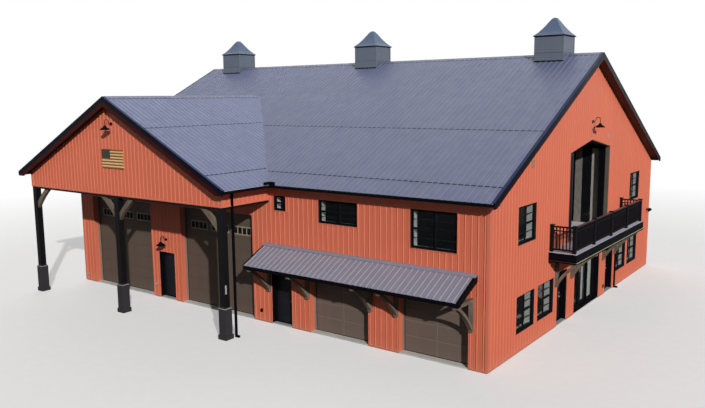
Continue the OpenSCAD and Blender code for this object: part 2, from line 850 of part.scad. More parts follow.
// A door leaf with raised panels, hinged at its left edge as seen from outside, and lever handles
leaf_w = walk_door_w - 2 * jamb_t - hinge_gap - latch_gap;
leaf_z0 = slab_h + sill_h + 8;
leaf_h = walk_door_h - jamb_t - 8 - leaf_z0;
module door_leaf() {
    lever_z = 960;
    lever_x = leaf_w - 70;
    leaf_knuckles();
    translate([-walk_door_w / 2 + jamb_t + hinge_gap, leaf_out, 0]) {
        translate([0, 0, leaf_z0]) cube([leaf_w, leaf_t, leaf_h]);
        for (face = [[0, -1], [leaf_t, 1]]) translate([lever_x, face[0], lever_z]) {
            rotate([face[1] > 0 ? -90 : 90, 0, 0]) cylinder(d = 54, h = 8, $fn = 32);
            rotate([face[1] > 0 ? -90 : 90, 0, 0]) cylinder(d = 18, h = 46, $fn = 24);
            translate([-120, face[1] > 0 ? 34 : -46, -10]) cube([130, 12, 20]);
        }
    }
}

module porch_door() {
    color("#17181d") on_front() translate([porch_door_x, 0, 0]) door_leaf();
}

module front_door() {
    color("#17181d") on_front() translate([front_door_x, 0, 0]) door_leaf();
}

module gable_door_near() {
    color("#17181d") on_right() translate([-gable_door_y, 0, 0]) door_leaf();
}

module gable_door_far() {
    color("#17181d") on_right() translate([gable_door_y, 0, 0]) door_leaf();
}

// The glass door: a fixed panel at each end and a middle panel that slides inside of them
slide_panel_w = (glass_door_w - 2 * jamb_t) / 3;
slide_z0 = slab_h + sill_h;
slide_h = walk_door_h - jamb_t - slide_z0;
slide_stile = 75;
slide_t = 45;
fixed_out = 160;
slider_out = 215;
slide_overlap = 40;
slide_clear = 6;
module glazed_panel(w, z0, h) {
    difference() {
        translate([-w / 2, 0, z0]) cube([w, slide_t, h]);
        translate([-w / 2 + slide_stile, -cut, z0 + 1.6 * slide_stile])
            cube([w - 2 * slide_stile, slide_t + 2 * cut, h - 2.6 * slide_stile]);
    }
}

module panel_pane(w, z0, h) {
    translate([-w / 2 + slide_stile, (slide_t - pane_t) / 2, z0 + 1.6 * slide_stile])
        cube([w - 2 * slide_stile, pane_t, h - 2.6 * slide_stile]);
}

module glass_door_fixed_panels() {
    color(trim) on_right() for (side = [-1, 1])
        translate([side * slide_panel_w, fixed_out, 0])
            glazed_panel(slide_panel_w, slide_z0, slide_h);
}

module glass_door_fixed_panes() {
    color(pane) on_right() for (side = [-1, 1])
        translate([side * slide_panel_w, fixed_out, 0])
            panel_pane(slide_panel_w, slide_z0, slide_h);
}

slider_w = slide_panel_w + 2 * slide_overlap;
module glass_door_slider() {
    color(trim) on_right() translate([0, slider_out, 0]) {
        glazed_panel(slider_w, slide_z0 + slide_clear, slide_h - 2 * slide_clear);
        translate([-slider_w / 2 + 25, slide_t, 900]) cube([25, 35, 260]);
    }
}

module glass_door_slider_pane() {
    color(pane) on_right() translate([0, slider_out, 0])
        panel_pane(slider_w, slide_z0 + slide_clear, slide_h - 2 * slide_clear);
}

// The tall opening above the balcony: a frame on the inside of the wall follows its gabled head,
// and two pairs of tall glazed leaves stand folded back inside, square to the wall
loft_frame_w = 110;
loft_frame_t = 120;
// The frame's liner reaches into the opening to this depth behind the wall's face
loft_liner_in = 163;
loft_liner_t = 25;
leaf_stile = 315;
loft_leaf_w = 1040;
loft_leaf_h = 3300;
loft_leaf_t = 45;
loft_leaf_gap = 12;
loft_leaf_in = 500;
loft_leaf_z = loft_z;
// How far the pairs stand outside the edges of the opening
loft_leaf_side = 200;

// The opening's outline, grown by a border at its sides and head
module loft_outline(border) {
    half = loft_door_w / 2 + border;
    polygon([[-half, loft_z], [half, loft_z], [half, loft_door_spring + border],
        [0, loft_door_spring + loft_door_rise + border], [-half, loft_door_spring + border]]);
}

module loft_door_frame() {
    module ring(border) {
        difference() {
            loft_outline(border);
            translate([0, -cut]) loft_outline(-loft_liner_t);
            loft_outline(-loft_liner_t);
        }
    }
    color(trim) {
        along_x(hl - wall_t - loft_frame_t, hl - wall_t) ring(loft_frame_w);
        along_x(hl - wall_t, hl - loft_liner_in) ring(0);
    }
}

// Puts a leaf that is drawn along +X from 0, its face at y = 0, in each of the four places
module loft_leaf_places() {
    for (side = [-1, 1], layer = [0, 1]) translate([
            hl - loft_leaf_in - loft_leaf_w,
            side * (loft_door_w / 2 + loft_leaf_side + layer * (loft_leaf_t + loft_leaf_gap)),
            loft_leaf_z])
        scale([1, side, 1]) children();
}

module loft_leaves() {
    color(timber) loft_leaf_places() difference() {
        cube([loft_leaf_w, loft_leaf_t, loft_leaf_h]);
        translate([leaf_stile, -cut, leaf_stile])
            cube([loft_leaf_w - 2 * leaf_stile, loft_leaf_t + 2 * cut, loft_leaf_h - 2 * leaf_stile]);
    }
}

module loft_leaf_panes() {
    color(pane) loft_leaf_places()
        translate([leaf_stile, (loft_leaf_t - pane_t) / 2, leaf_stile])
            cube([loft_leaf_w - 2 * leaf_stile, pane_t, loft_leaf_h - 2 * leaf_stile]);
}

// A window frame with a middle rail, and a mullion when it holds two windows side by side
module window_frame(w) {
    height = w[3] - w[2];
    twin = w[1] > 1300;
    translate([w[0] - w[1] / 2, window_set, w[2]]) {
        difference() {
            cube([w[1], window_frame_t, height]);
            translate([window_bar, -cut, window_bar])
                cube([w[1] - 2 * window_bar, window_frame_t + 2 * cut, height - 2 * window_bar]);
        }
        translate([window_bar, 25, height / 2 - 22]) cube([w[1] - 2 * window_bar, 25, 45]);
        if (twin) translate([w[1] / 2 - 35, 15, window_bar])
            cube([70, 35, height - 2 * window_bar]);
    }
}

module window_pane(w) {
    translate([w[0] - w[1] / 2 + window_bar, window_set + 50, w[2] + window_bar])
        cube([w[1] - 2 * window_bar, pane_t, w[3] - w[2] - 2 * window_bar]);
}

module window_frames() {
    color(trim) {
        on_front() for (w = front_windows) window_frame(w);
        on_right() for (w = concat(lower_gable_windows, upper_gable_windows)) window_frame(w);
        on_left() for (w = left_windows) window_frame(w);
        on_back() for (w = back_windows) window_frame(w);
    }
}

module window_panes() {
    color(pane) {
        on_front() for (w = front_windows) window_pane(w);
        on_right() for (w = concat(lower_gable_windows, upper_gable_windows)) window_pane(w);
        on_left() for (w = left_windows) window_pane(w);
        on_back() for (w = back_windows) window_pane(w);
    }
}

// A gooseneck lamp on a wall that faces -Y: a wall plate, an arm that turns up, over and down
// again, and a spun shade
module barn_lamp() {
    bend = 90;
    arm = 12;
    stem = 150;
    module quarter_turn(angle) {
        rotate_extrude(angle = angle, $fn = 48) translate([bend, 0]) circle(r = arm, $fn = 16);
    }
    rotate([90, 0, 0]) cylinder(d = 130, h = 25, $fn = 32);
    rotate([90, 0, 0]) cylinder(r = arm, h = 40, $fn = 16);
    translate([0, -40, bend]) rotate([90, 0, 90]) rotate([0, 0, 180]) quarter_turn(90);
    translate([0, -40 - 2 * bend, bend]) rotate([90, 0, 90]) quarter_turn(180);
    translate([0, -40 - 3 * bend, bend - stem]) {
        cylinder(r = arm, h = stem, $fn = 16);
        translate([0, 0, -160]) rotate_extrude($fn = 48) polygon([
            [190, 0], [200, 0], [200, 12], [135, 70], [64, 105], [54, 160], [0, 172],
            [0, 158], [42, 148], [52, 95], [126, 60]]);
    }
}

module barn_lamps() {
    color(trim) {
        translate([porch_mid, porch_front, 7700]) barn_lamp();
        translate([porch_door_x, -hw, 2650]) barn_lamp();
        translate([hl, 0, 7600]) rotate([0, 0, 90]) barn_lamp();
    }
}

// A plain slatted board on the porch gable, with a dark panel in its upper corner
plaque_w = 1370;
plaque_h = 760;
module wall_plaque() {
    slats = 12;
    color("#b98a4e") translate([porch_mid - plaque_w / 2, porch_front - 45, 5930]) {
        translate([0, 20, 0]) cube([plaque_w, 25, plaque_h]);
        for (i = [0:2:slats]) translate([0, 0, i * plaque_h / (slats + 1)])
            cube([plaque_w, 20, plaque_h / (slats + 1)]);
    }
}

floor_slab();
loft_floor();
front_wall_piers();
front_wall_door_heads();
front_wall_porch_band();
front_wall_upper();
right_wall_lower();
right_wall_sides();
right_wall_band();
right_wall_head();
back_wall();
left_wall();
main_roof_front();
main_roof_back();
main_ridge_cap();
rake_boards();
porch_roof_left();
porch_roof_right();
porch_ridge_cap();
porch_gable();
porch_side_walls();
porch_ceiling();
porch_posts();
porch_post_guards();
porch_knee_braces();
gutters();
downspouts();
awning_roof();
awning_brackets();
balcony_deck();
balcony_posts();
balcony_rails();
balcony_brackets();
cupola_bodies();
cupola_roofs();
tall_overhead_doors();
low_overhead_doors();
tall_door_glass();
door_jambs();
door_heads_and_sills();
porch_door();
front_door();
gable_door_near();
gable_door_far();
glass_door_fixed_panels();
glass_door_fixed_panes();
glass_door_slider();
glass_door_slider_pane();
loft_door_frame();
loft_leaves();
loft_leaf_panes();
window_frames();
window_panes();
barn_lamps();
wall_plaque();
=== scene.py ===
import math
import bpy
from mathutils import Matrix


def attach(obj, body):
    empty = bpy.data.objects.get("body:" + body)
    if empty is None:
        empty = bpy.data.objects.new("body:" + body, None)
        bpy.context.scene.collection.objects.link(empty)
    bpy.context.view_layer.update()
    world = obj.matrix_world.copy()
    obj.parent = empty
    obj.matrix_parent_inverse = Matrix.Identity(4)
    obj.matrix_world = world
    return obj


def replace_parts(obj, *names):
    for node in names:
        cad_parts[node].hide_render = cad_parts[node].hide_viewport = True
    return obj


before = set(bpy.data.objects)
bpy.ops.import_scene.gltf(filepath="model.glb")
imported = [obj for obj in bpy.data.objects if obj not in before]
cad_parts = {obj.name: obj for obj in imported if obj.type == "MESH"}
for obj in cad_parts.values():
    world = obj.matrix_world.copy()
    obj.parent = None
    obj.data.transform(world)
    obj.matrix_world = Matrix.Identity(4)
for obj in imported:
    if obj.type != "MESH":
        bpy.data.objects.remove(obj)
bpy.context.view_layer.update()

import bpy
from mathutils import Matrix, Vector

# Main sizes in metres, as the solids have them
barn = {
    "halfLength": 10.668, "halfWidth": 9.144, "heel": 5.72, "pitch": 0.5, "eaveRun": 0.45,
    "rakeRun": 0.33, "rakeLap": 0.08, "roofDepth": 0.25, "soffit": 5.38, "loft": 3.05,
    "porchWidth": 12.192, "porchDepth": 2.438, "porchClear": 4.84, "sheetFoot": 0.03,
    "porchGap": 0.02, "cupolas": (-9.0, 0.0, 9.0),
}
halfLength, halfWidth, pitch, eaveRun = (
    barn[key] for key in ("halfLength", "halfWidth", "pitch", "eaveRun"))
soffit, loft, clear, sheetFoot = (
    barn[key] for key in ("soffit", "loft", "porchClear", "sheetFoot"))
porchLeft = -halfLength
porchRight = porchLeft + barn["porchWidth"]
porchMid = (porchLeft + porchRight) / 2
porchHalf = barn["porchWidth"] / 2
porchFront = -halfWidth - barn["porchDepth"]
ridgeHeight = barn["heel"] + pitch * halfWidth
porchRidge = barn["heel"] + pitch * porchHalf
slopeLength = math.hypot(1, pitch)
roofEdge = halfLength + barn["rakeRun"] - barn["rakeLap"]  # where the roof sheets end
porchRoofEdge = porchFront - barn["rakeRun"] + barn["rakeLap"]
quarters = ((-1, -1), (1, -1), (1, 1), (-1, 1))


def mainTop(y):
    return barn["heel"] + pitch * (halfWidth - abs(y))


def porchTop(x):
    return barn["heel"] + pitch * (porchHalf - abs(x - porchMid))


def addObject(name, data):
    made = bpy.data.objects.new(name, data)
    bpy.context.scene.collection.objects.link(made)
    return made


# Camera

view = {
    "focalPixels": 725.087, "imageWidth": 705, "sensor": 36, "farEnd": 400,
    "place": (20.2528, -29.1335, 8.6547), "yaw": -0.6369, "tilt": -0.1461, "roll": 0.0095,
}


def makeCamera():
    yaw, tilt, roll = view["yaw"], view["tilt"], view["roll"]
    ahead = Vector((math.sin(yaw) * math.cos(tilt), math.cos(yaw) * math.cos(tilt),
                    math.sin(tilt)))
    side = Vector((math.cos(yaw), -math.sin(yaw), 0))
    down = ahead.cross(side)
    rolledSide = side * math.cos(roll) + down * math.sin(roll)
    rolledDown = down * math.cos(roll) - side * math.sin(roll)
    data = bpy.data.cameras.new("photoCamera")
    data.sensor_width = view["sensor"]
    data.lens = view["sensor"] * view["focalPixels"] / view["imageWidth"]
    data.clip_end = view["farEnd"]
    camera = addObject("photoCamera", data)
    turn = Matrix((rolledSide, -rolledDown, -ahead)).transposed().to_4x4()
    camera.matrix_world = Matrix.Translation(view["place"]) @ turn
    bpy.context.scene.camera = camera


makeCamera()
print("camera placed")


# Material tools: all of them add nodes to the tree that was opened last

def rgb(red, green, blue):  # the usual 0 to 255 colour as the linear one that shaders take
    def linear(value):
        value /= 255
        return value / 12.92 if value <= 0.04045 else ((value + 0.055) / 1.055) ** 2.4
    return (linear(red), linear(green), linear(blue), 1.0)


def shaded(color, factor):
    return tuple(min(1.0, c * factor) for c in color[:3]) + (1.0,)


def openTree(owner):
    global tree
    owner.use_nodes = True
    tree = owner.node_tree
    return tree.nodes


def startMaterial(name, rough=0.5, specular=0.5, alpha=1.0):
    mat = bpy.data.materials.new(name)
    inputs = openTree(mat)["Principled BSDF"].inputs
    inputs["Roughness"].default_value = rough
    inputs["Specular IOR Level"].default_value = specular
    inputs["Alpha"].default_value = alpha
    return mat


def addNode(kind, values=None, **settings):
    made = tree.nodes.new("ShaderNode" + kind)
    for key, value in settings.items():
        setattr(made, key, value)
    for key, value in (values or {}).items():
        if isinstance(value, bpy.types.NodeSocket):
            tree.links.new(value, made.inputs[key])
        else:
            made.inputs[key].default_value = value
    return made


def place(stretch=(1, 1, 1)):  # the piece's own coordinates, stretched
    values = {"Vector": addNode("TexCoord").outputs["Object"], "Scale": stretch}
    return addNode("Mapping", values).outputs[0]


def noise(scale, detail=3.0, rough=0.5, stretch=(1, 1, 1)):
    values = {"Vector": place(stretch), "Scale": scale, "Detail": detail, "Roughness": rough}
    return addNode("TexNoise", values).outputs[0]


def calc(operation, a, b=0.0):
    return addNode("Math", {0: a, 1: b}, operation=operation).outputs[0]


def mixed(a, b, share):
    return calc("ADD", calc("MULTIPLY", a, share), calc("MULTIPLY", b, 1 - share))


def apart(a, b):
    return calc("ABSOLUTE", calc("SUBTRACT", a, b))


def rerange(value, low, high, outLow, outHigh):
    values = {"Value": value, "From Min": low, "From Max": high, "To Min": outLow,
              "To Max": outHigh}
    return addNode("MapRange", values).outputs[0]


def wear(value, low, high):  # roughness that follows a noise
    return rerange(value, 0.3, 0.7, low, high)


def ramp(value, *stops):
    made = addNode("ValToRGB", {0: value})
    points = made.color_ramp.elements
    while len(points) < len(stops):
        points.new(0.5)
    for point, (at, color) in zip(points, stops):
        point.position = at
        point.color = color
    return made.outputs[0]


def toned(value, color, low, high, ends=(0.3, 0.7)):  # a colour between two of its shades
    return ramp(value, (ends[0], shaded(color, low)), (ends[1], shaded(color, high)))


def blend(factor, a, b):
    return addNode("Mix", {0: factor, 6: a, 7: b}, data_type="RGBA").outputs[2]


def split(vector, letter):
    return addNode("SeparateXYZ", {0: vector}).outputs[letter]


def axis(letter):
    return split(place(), letter)


def facing(letter):
    return split(addNode("NewGeometry").outputs["True Normal"], letter)


def finishMaterial(mat, color, rough=None, bump=None, depth=0.002, strength=0.5):
    inputs = tree.nodes["Principled BSDF"].inputs
    tree.links.new(color, inputs["Base Color"])
    if rough is not None:
        tree.links.new(rough, inputs["Roughness"])
    if bump is not None:
        values = {"Height": bump, "Distance": depth, "Strength": strength}
        tree.links.new(addNode("Bump", values).outputs[0], inputs["Normal"])
    return mat


# Ribs of the wall and roof sheets
ribs = {
    "pitch": 0.2286, "height": 0.019, "lift": 0.002, "thick": 0.0012,
    # distance from the rib's middle and share of its height there
    "profile": ((0.0, 1.0), (0.010, 1.0), (0.028, 0.0), (0.062, 0.0), (0.069, 0.16),
                (0.083, 0.16), (0.090, 0.0), (0.1143, 0.0)),
}


def paintedSteel(name, color, rough=0.5, spread=0.10, specular=0.35, dust=None, paintedRibHighlight=None):
    # satin paint on rolled sheet: slow change of tone, faint streaks down it, a slight ripple
    mat = startMaterial(name, rough, specular)
    streaks = noise(1.0, 5, 0.6, (5, 5, 0.22))
    both = mixed(noise(0.35, 4), streaks, 0.55)
    paint = ramp(both, (0.30, shaded(color, 1 - spread)), (0.5, color),
                 (0.70, shaded(color, 1 + 0.8 * spread)))
    if paintedRibHighlight:  # painted highlight along the tops of the ribs, standing in for their sheen; the ribs stand side by side along X
        run = calc("ADD", calc("DIVIDE", axis("X"), ribs["pitch"]), 0.5)
        onRib = rerange(apart(calc("FRACT", run), 0.5), 0.06, 0.11, 1.0, 0.0)
        paint = blend(calc("MULTIPLY", onRib, calc("ADD", streaks, 0.35)), paint, paintedRibHighlight)
    if dust:  # splashed up from the ground
        ragged = calc("ADD", axis("Z"), calc("MULTIPLY", noise(1.6), 0.25))
        paint = blend(rerange(ragged, 0.05, 0.55, 0.22, 0.0), paint, dust)
    return finishMaterial(mat, paint, wear(noise(2.3, 4), rough - 0.05, rough + 0.08),
                          noise(2.2, 2, stretch=(1, 1, 0.35)), 0.010, 0.35)


upGrain, levelGrain = (9, 9, 1.2), (1.2, 9, 9)  # how noise is drawn out along the grain


def timber(name, dark, light, rough=0.75, stretch=upGrain):
    mat = startMaterial(name, rough, 0.15)
    grain = noise(3.0, 8, 0.62, stretch)
    fine = noise(6.0, 6, 0.6, tuple(4 * s for s in stretch))
    paint = ramp(mixed(grain, noise(1.1, 3), 0.5), (0.33, dark), (0.66, light))
    paint = blend(rerange(fine, 0.35, 0.6, 0.35, 0.0), paint, shaded(dark, 0.6))
    return finishMaterial(mat, paint, wear(fine, rough + 0.1, rough - 0.08), grain, 0.004, 0.6)


# where one paint gives way to another, in metres
paintLines = {"outerStile": 0.83, "railMiddle": 1.02, "railHalf": 0.206, "vergeFoot": 0.19,
              "wallDepth": 0.285}


def leafTimber(name, wood, paint):
    # folded leaves: bare stiles towards the doorway, rails between painted dark as painted shade,
    # dark outer faces, and the outer stile painted lighter, painted light where the wall's shadow
    # falls
    mat = startMaterial(name, 0.75, 0.12)
    grain = noise(3.0, 8, 0.62, upGrain)
    board = toned(grain, wood, 0.7, 1.25, (0.33, 0.66))
    # painted light: a lighter copy of the wood for the outer stile, which lies in the wall's shadow
    paintedLightStile = toned(grain, wood, 1.5, 2.2, (0.33, 0.66))
    outer = calc("GREATER_THAN", axis("X"), halfLength - paintLines["outerStile"])
    # painted shade: the rails between the stiles take the dark paint, matching the dark panes
    rail = calc("LESS_THAN", apart(axis("X"), halfLength - paintLines["railMiddle"]),
                paintLines["railHalf"])
    away = calc("GREATER_THAN", calc("MULTIPLY", facing("Y"), axis("Y")), 0.1)
    color = blend(calc("MAXIMUM", rail, away), blend(outer, board, paintedLightStile), paint)
    return finishMaterial(mat, color, None, grain, 0.004, 0.6)


def boarded(name, color, across, width, spread=0.10, rough=0.6, groove=0.05, paintedShadePast=None):
    # boards side by side along one axis, each of its own tone, with a dark joint between them
    mat = startMaterial(name, rough, 0.3)
    run = calc("DIVIDE", axis(across), width)
    values = {"W": calc("FLOOR", run)}
    own = addNode("TexWhiteNoise", values, noise_dimensions="1D").outputs[0]
    grain = noise(1.4, 6, 0.6, (9, 1, 9) if across == "X" else (1, 9, 9))
    paint = toned(mixed(own, grain, 0.6), color, 1 - spread, 1 + spread, (0.2, 0.8))
    joint = rerange(apart(calc("FRACT", run), 0.5), 0.5 - groove, 0.5, 0.0, 1.0)
    paint = blend(joint, paint, shaded(color, 0.35))
    if paintedShadePast is not None:  # painted shade: boards deep inside are darkened, away from the opening
        inside = rerange(axis("X"), paintedShadePast - 0.5, paintedShadePast, 1.0, 0.0)
        paint = blend(inside, paint, shaded(color, 0.04))
    depth = calc("SUBTRACT", calc("MULTIPLY", grain, 0.2), joint)
    return finishMaterial(mat, paint, wear(grain, rough - 0.08, rough + 0.1), depth, 0.005, 0.7)


def concreteFinish(name, color):
    mat = startMaterial(name, 0.8, 0.25)
    cloud, grit = noise(0.8, 6, 0.6), noise(45, 4, 0.7)
    paint = toned(mixed(cloud, grit, 0.7), color, 0.85, 1.1, (0.35, 0.65))
    return finishMaterial(mat, paint, wear(cloud, 0.7, 0.9), grit, 0.002, 0.4)


def windowGlass(name, tint, alpha):
    mat = startMaterial(name, 0.04, 0.4, alpha)
    smear = noise(3.0, 4, 0.6)
    return finishMaterial(mat, toned(smear, tint, 1, 1.6), wear(smear, 0.03, 0.09),
                          noise(1.3, 2), 0.002, 0.2)


def vergePaint(name, top, face, foot):
    # folded verge trim: the lap on the roof takes a lighter blue, a painted highlight on faces that
    # look up; the hanging face is near black, and the board behind it is dark red along its lower
    # edge, painted shade on the red board
    mat = startMaterial(name, 0.45, 0.05)
    onPorch = calc("LESS_THAN", axis("Y"), porchFront)
    porchLine, mainLine = (
        calc("SUBTRACT", ridge, calc("MULTIPLY", run, pitch))
        for ridge, run in ((porchRidge, apart(axis("X"), porchMid)),
                           (ridgeHeight, apart(axis("Y"), 0.0))))
    step = calc("MULTIPLY", onPorch, calc("SUBTRACT", porchLine, mainLine))
    below = calc("SUBTRACT", calc("ADD", step, mainLine), axis("Z"))
    tone = noise(1.4, 4)
    # painted shade: the lower edge of the face takes the dark soffit red
    facePaint = blend(calc("GREATER_THAN", below, paintLines["vergeFoot"]),
                      toned(tone, face, 0.8, 1.25), toned(tone, foot, 0.8, 1.15))
    # painted highlight: faces that look up take the lighter blue
    paint = blend(calc("GREATER_THAN", facing("Z"), 0.3), facePaint, toned(tone, top, 0.85, 1.15))
    return finishMaterial(mat, paint, wear(tone, 0.34, 0.46), tone, 0.004, 0.3)


def roofBody(name, top, edge, under, inside):
    # the slab under the sheets: dark folded edges, a soffit past the walls and a dark inner face;
    # the soffit's dark red is painted shade on red sheet
    mat = startMaterial(name, 0.5, 0.3)
    tone, up = noise(1.2, 4), facing("Z")
    pastGable = calc("GREATER_THAN", apart(axis("X"), 0.0), halfLength)
    pastWall = calc("GREATER_THAN", apart(axis("Y"), 0.0), halfWidth)
    # painted shade: faces that look down past the walls take the dark soffit red
    below = blend(calc("MAXIMUM", pastGable, pastWall), toned(tone, inside, 0.92, 1.04),
                  toned(tone, under, 0.85, 1.15))
    sides = blend(calc("LESS_THAN", up, -0.3), toned(tone, edge, 0.8, 1.3), below)
    paint = blend(calc("GREATER_THAN", up, 0.3), sides, toned(tone, top, 0.9, 1.06))
    return finishMaterial(mat, paint, wear(tone, 0.42, 0.58), tone, 0.003, 0.3)


def wallBody(name, outer, inner):
    # the framed wall behind the sheets: red at its reveals and dark towards the rooms
    mat = startMaterial(name, 0.55)
    depth = calc("MINIMUM", calc("SUBTRACT", halfLength, apart(axis("X"), 0.0)),
                 calc("SUBTRACT", halfWidth, apart(axis("Y"), 0.0)))
    tone = noise(1.0, 4, stretch=(3, 3, 0.5))
    paint = blend(calc("GREATER_THAN", depth, paintLines["wallDepth"]),
                  toned(tone, outer, 0.92, 1.06), toned(tone, inner, 0.9, 1.05))
    return finishMaterial(mat, paint, wear(tone, 0.45, 0.65), tone, 0.004, 0.3)


tones = {  # the colours that are used more than once
    "red": rgb(212, 112, 84), "dust": rgb(196, 158, 136), "roof": rgb(92, 98, 125),
    # soffit is red sheet darkened, painted shade for the undersides of the eaves
    "awning": rgb(137, 135, 149), "black": rgb(12, 12, 16), "soffit": rgb(60, 20, 16),
    "jamb": rgb(140, 128, 118), "post": rgb(14, 15, 17), "cupola": rgb(95, 103, 115),
    "cupolaRoof": rgb(80, 96, 122), "inside": rgb(38, 35, 33), "slat": rgb(252, 222, 166),
    "olive": rgb(96, 92, 84), "plaque": rgb(170, 104, 50), "plaqueCorner": rgb(74, 72, 68),
}
finishes = {
    "siding": paintedSteel("redSiding", tones["red"], 0.45, 0.06, dust=tones["dust"]),
    "sidingTrim": paintedSteel("redTrim", rgb(214, 118, 92), 0.42, 0.05, dust=tones["dust"]),
    # roofing and awning take a painted highlight along the tops of their ribs
    "roofing": paintedSteel("slateRoofing", tones["roof"], 0.45, 0.08, paintedRibHighlight=rgb(114, 120, 148)),
    # the porch sheets are the main roof's slate painted 1.34 times lighter: painted light for its
    # lit slopes
    "porchRoofing": paintedSteel("slatePorchRoofingPaintedLight", shaded(tones["roof"], 1.34), 0.45, 0.06),
    "ridge": paintedSteel("slateRidge", tones["roof"], 0.45, 0.08),
    "awning": paintedSteel("awningRoofing", tones["awning"], 0.45, 0.08,
                           paintedRibHighlight=rgb(158, 156, 168)),
    "awningTrim": paintedSteel("awningTrim", tones["awning"], 0.45),
    "black": paintedSteel("blackTrim", tones["black"], 0.5, 0.25, 0.04),
    "brown": paintedSteel("brownDoor", rgb(94, 80, 70), 0.55, 0.08, 0.25),
    "lowBrown": paintedSteel("lowBrownDoor", rgb(109, 94, 85), 0.55, 0.08, 0.25),
    # pale strips on the low doors' joints: painted highlight of the section edges
    "joint": paintedSteel("doorJointHighlights", rgb(122, 110, 102), 0.55, 0.08, 0.25),
    "tan": paintedSteel("paneSurround", rgb(150, 138, 118), 0.5, 0.08),
    "zinc": paintedSteel("zincGrey", rgb(168, 170, 170), 0.35, 0.12),
    "drip": paintedSteel("dripStrip", rgb(206, 204, 176), 0.45),
    "doorPaint": paintedSteel("doorPaint", rgb(26, 27, 33), 0.38, 0.12, 0.3),
    "guard": paintedSteel("postGuard", rgb(56, 54, 57), 0.5, 0.18, 0.08),
    "white": paintedSteel("whiteLiner", rgb(226, 230, 222), 0.5, 0.05),
    "rail": paintedSteel("railPaint", rgb(22, 20, 24), 0.5, 0.15, 0.06),
    "topRail": paintedSteel("handrailPaint", rgb(84, 58, 62), 0.4, 0.15, 0.3),
    "bar": paintedSteel("windowBarPaint", rgb(34, 34, 38), 0.5, 0.15, 0.06),
    "cupolaTrim": paintedSteel("cupolaTrim", shaded(tones["cupola"], 1.1)),
    "cupolaRoof": paintedSteel("cupolaSeamed", tones["cupolaRoof"], 0.42),
    "cupolaHip": paintedSteel("cupolaHips", shaded(tones["cupolaRoof"], 1.2), 0.42),
    "cupolaBoards": boarded("cupolaBoards", tones["cupola"], "Z", 0.105, 0.10, 0.5, 0.06),
    "deckBoards": boarded("deckBoards", rgb(188, 190, 204), "X", 0.14),
    "floorBoards": boarded("floorBoards", rgb(212, 206, 198), "Y", 0.14,
                           paintedShadePast=halfLength - 1.6),
    "ceiling": boarded("ceilingBoards", rgb(56, 48, 44), "X", 0.2, 0.16),
    "jamb": timber("doorJambs", shaded(tones["jamb"], 0.8), tones["jamb"], 0.6),
    "blackTimber": timber("blackTimber", shaded(tones["post"], 0.75), shaded(tones["post"], 1.35),
                          0.6),
    "weathered": timber("weatheredTimber", rgb(86, 74, 62), rgb(142, 128, 112)),
    "leaf": leafTimber("leafTimber", rgb(118, 113, 107), tones["black"]),
    "olive": timber("revealTimber", shaded(tones["olive"], 0.75), shaded(tones["olive"], 1.15)),
    "slat": timber("paleSlats", shaded(tones["slat"], 0.86), tones["slat"], 0.6, levelGrain),
    "plaque": timber("plaqueBack", shaded(tones["plaque"], 0.7), tones["plaque"], 0.6, levelGrain),
    "plaqueCorner": timber("plaqueCorner", shaded(tones["plaqueCorner"], 0.8),
                           tones["plaqueCorner"], 0.6, levelGrain),
    "concrete": concreteFinish("trowelledConcrete", rgb(200, 197, 190)),
    "glass": windowGlass("windowGlass", (0.010, 0.012, 0.014, 1), 0.20),
    # nearly opaque black panes: painted shade for the unlit space behind them
    "paintedShadeGlass": windowGlass("paintedShadeGlass", (0.006, 0.007, 0.008, 1), 0.80),
    "verge": vergePaint("verges", rgb(24, 38, 80), rgb(13, 17, 30), tones["soffit"]),
    "roofBody": roofBody("roofEdges", tones["roof"], tones["black"], tones["soffit"],
                         tones["inside"]),
    "wallBody": wallBody("wallCore", shaded(tones["red"], 0.9), tones["inside"]),
}
print("materials made:", len(finishes))


# Shape tools: a shape is a list of points and a list of faces, joined into one piece at the end

def newShape():
    return {"points": [], "faces": []}


def addFaces(shape, points, faces):
    first = len(shape["points"])
    shape["points"] += [tuple(p) for p in points]
    shape["faces"] += [[first + i for i in face] for face in faces]


def ringFaces(rings, count, caps=True):  # the faces between rings of points, and over both ends
    faces = [(i * count + j, i * count + (j + 1) % count, (i + 1) * count + (j + 1) % count,
              (i + 1) * count + j) for i in range(rings - 1) for j in range(count)]
    if caps:
        last = (rings - 1) * count
        faces += [tuple(range(count))[::-1], tuple(range(last, last + count))]
    return faces


def addBox(shape, a, b):
    low, high = [min(p) for p in zip(a, b)], [max(p) for p in zip(a, b)]
    ring = [(low[0], low[1]), (high[0], low[1]), (high[0], high[1]), (low[0], high[1])]
    addFaces(shape, [(x, y, z) for z in (low[2], high[2]) for x, y in ring], ringFaces(2, 4))


def addPrism(shape, outline, shift):  # a flat outline of 3D points pushed along a vector
    far = [Vector(p) + Vector(shift) for p in outline]
    addFaces(shape, list(outline) + far, ringFaces(2, len(outline)))


def addTube(shape, path, ring):  # sweeps a ring of (side, up) offsets along a path, with caps
    path = [Vector(p) for p in path]
    points = []
    for i, at in enumerate(path):
        before = (at - path[i - 1]).normalized() if i > 0 else None
        after = (path[i + 1] - at).normalized() if i < len(path) - 1 else None
        ahead = ((before or after) + (after or before)).normalized()
        stretch = 1 / max(0.3, ahead.dot(after or before))
        flat = Vector((0, 0, 1)) if abs(ahead.z) < 0.9 else Vector((0, 1, 0))
        side = ahead.cross(flat).normalized()
        up = side.cross(ahead).normalized()
        bend = (after - before) if before and after and (after - before).length > 1e-4 else None
        for s, u in ring:
            offset = side * s + up * u
            if bend:
                turn = (bend - ahead * bend.dot(ahead)).normalized()
                offset += turn * offset.dot(turn) * (stretch - 1)
            points.append(at + offset)
    addFaces(shape, points, ringFaces(len(path), len(ring)))


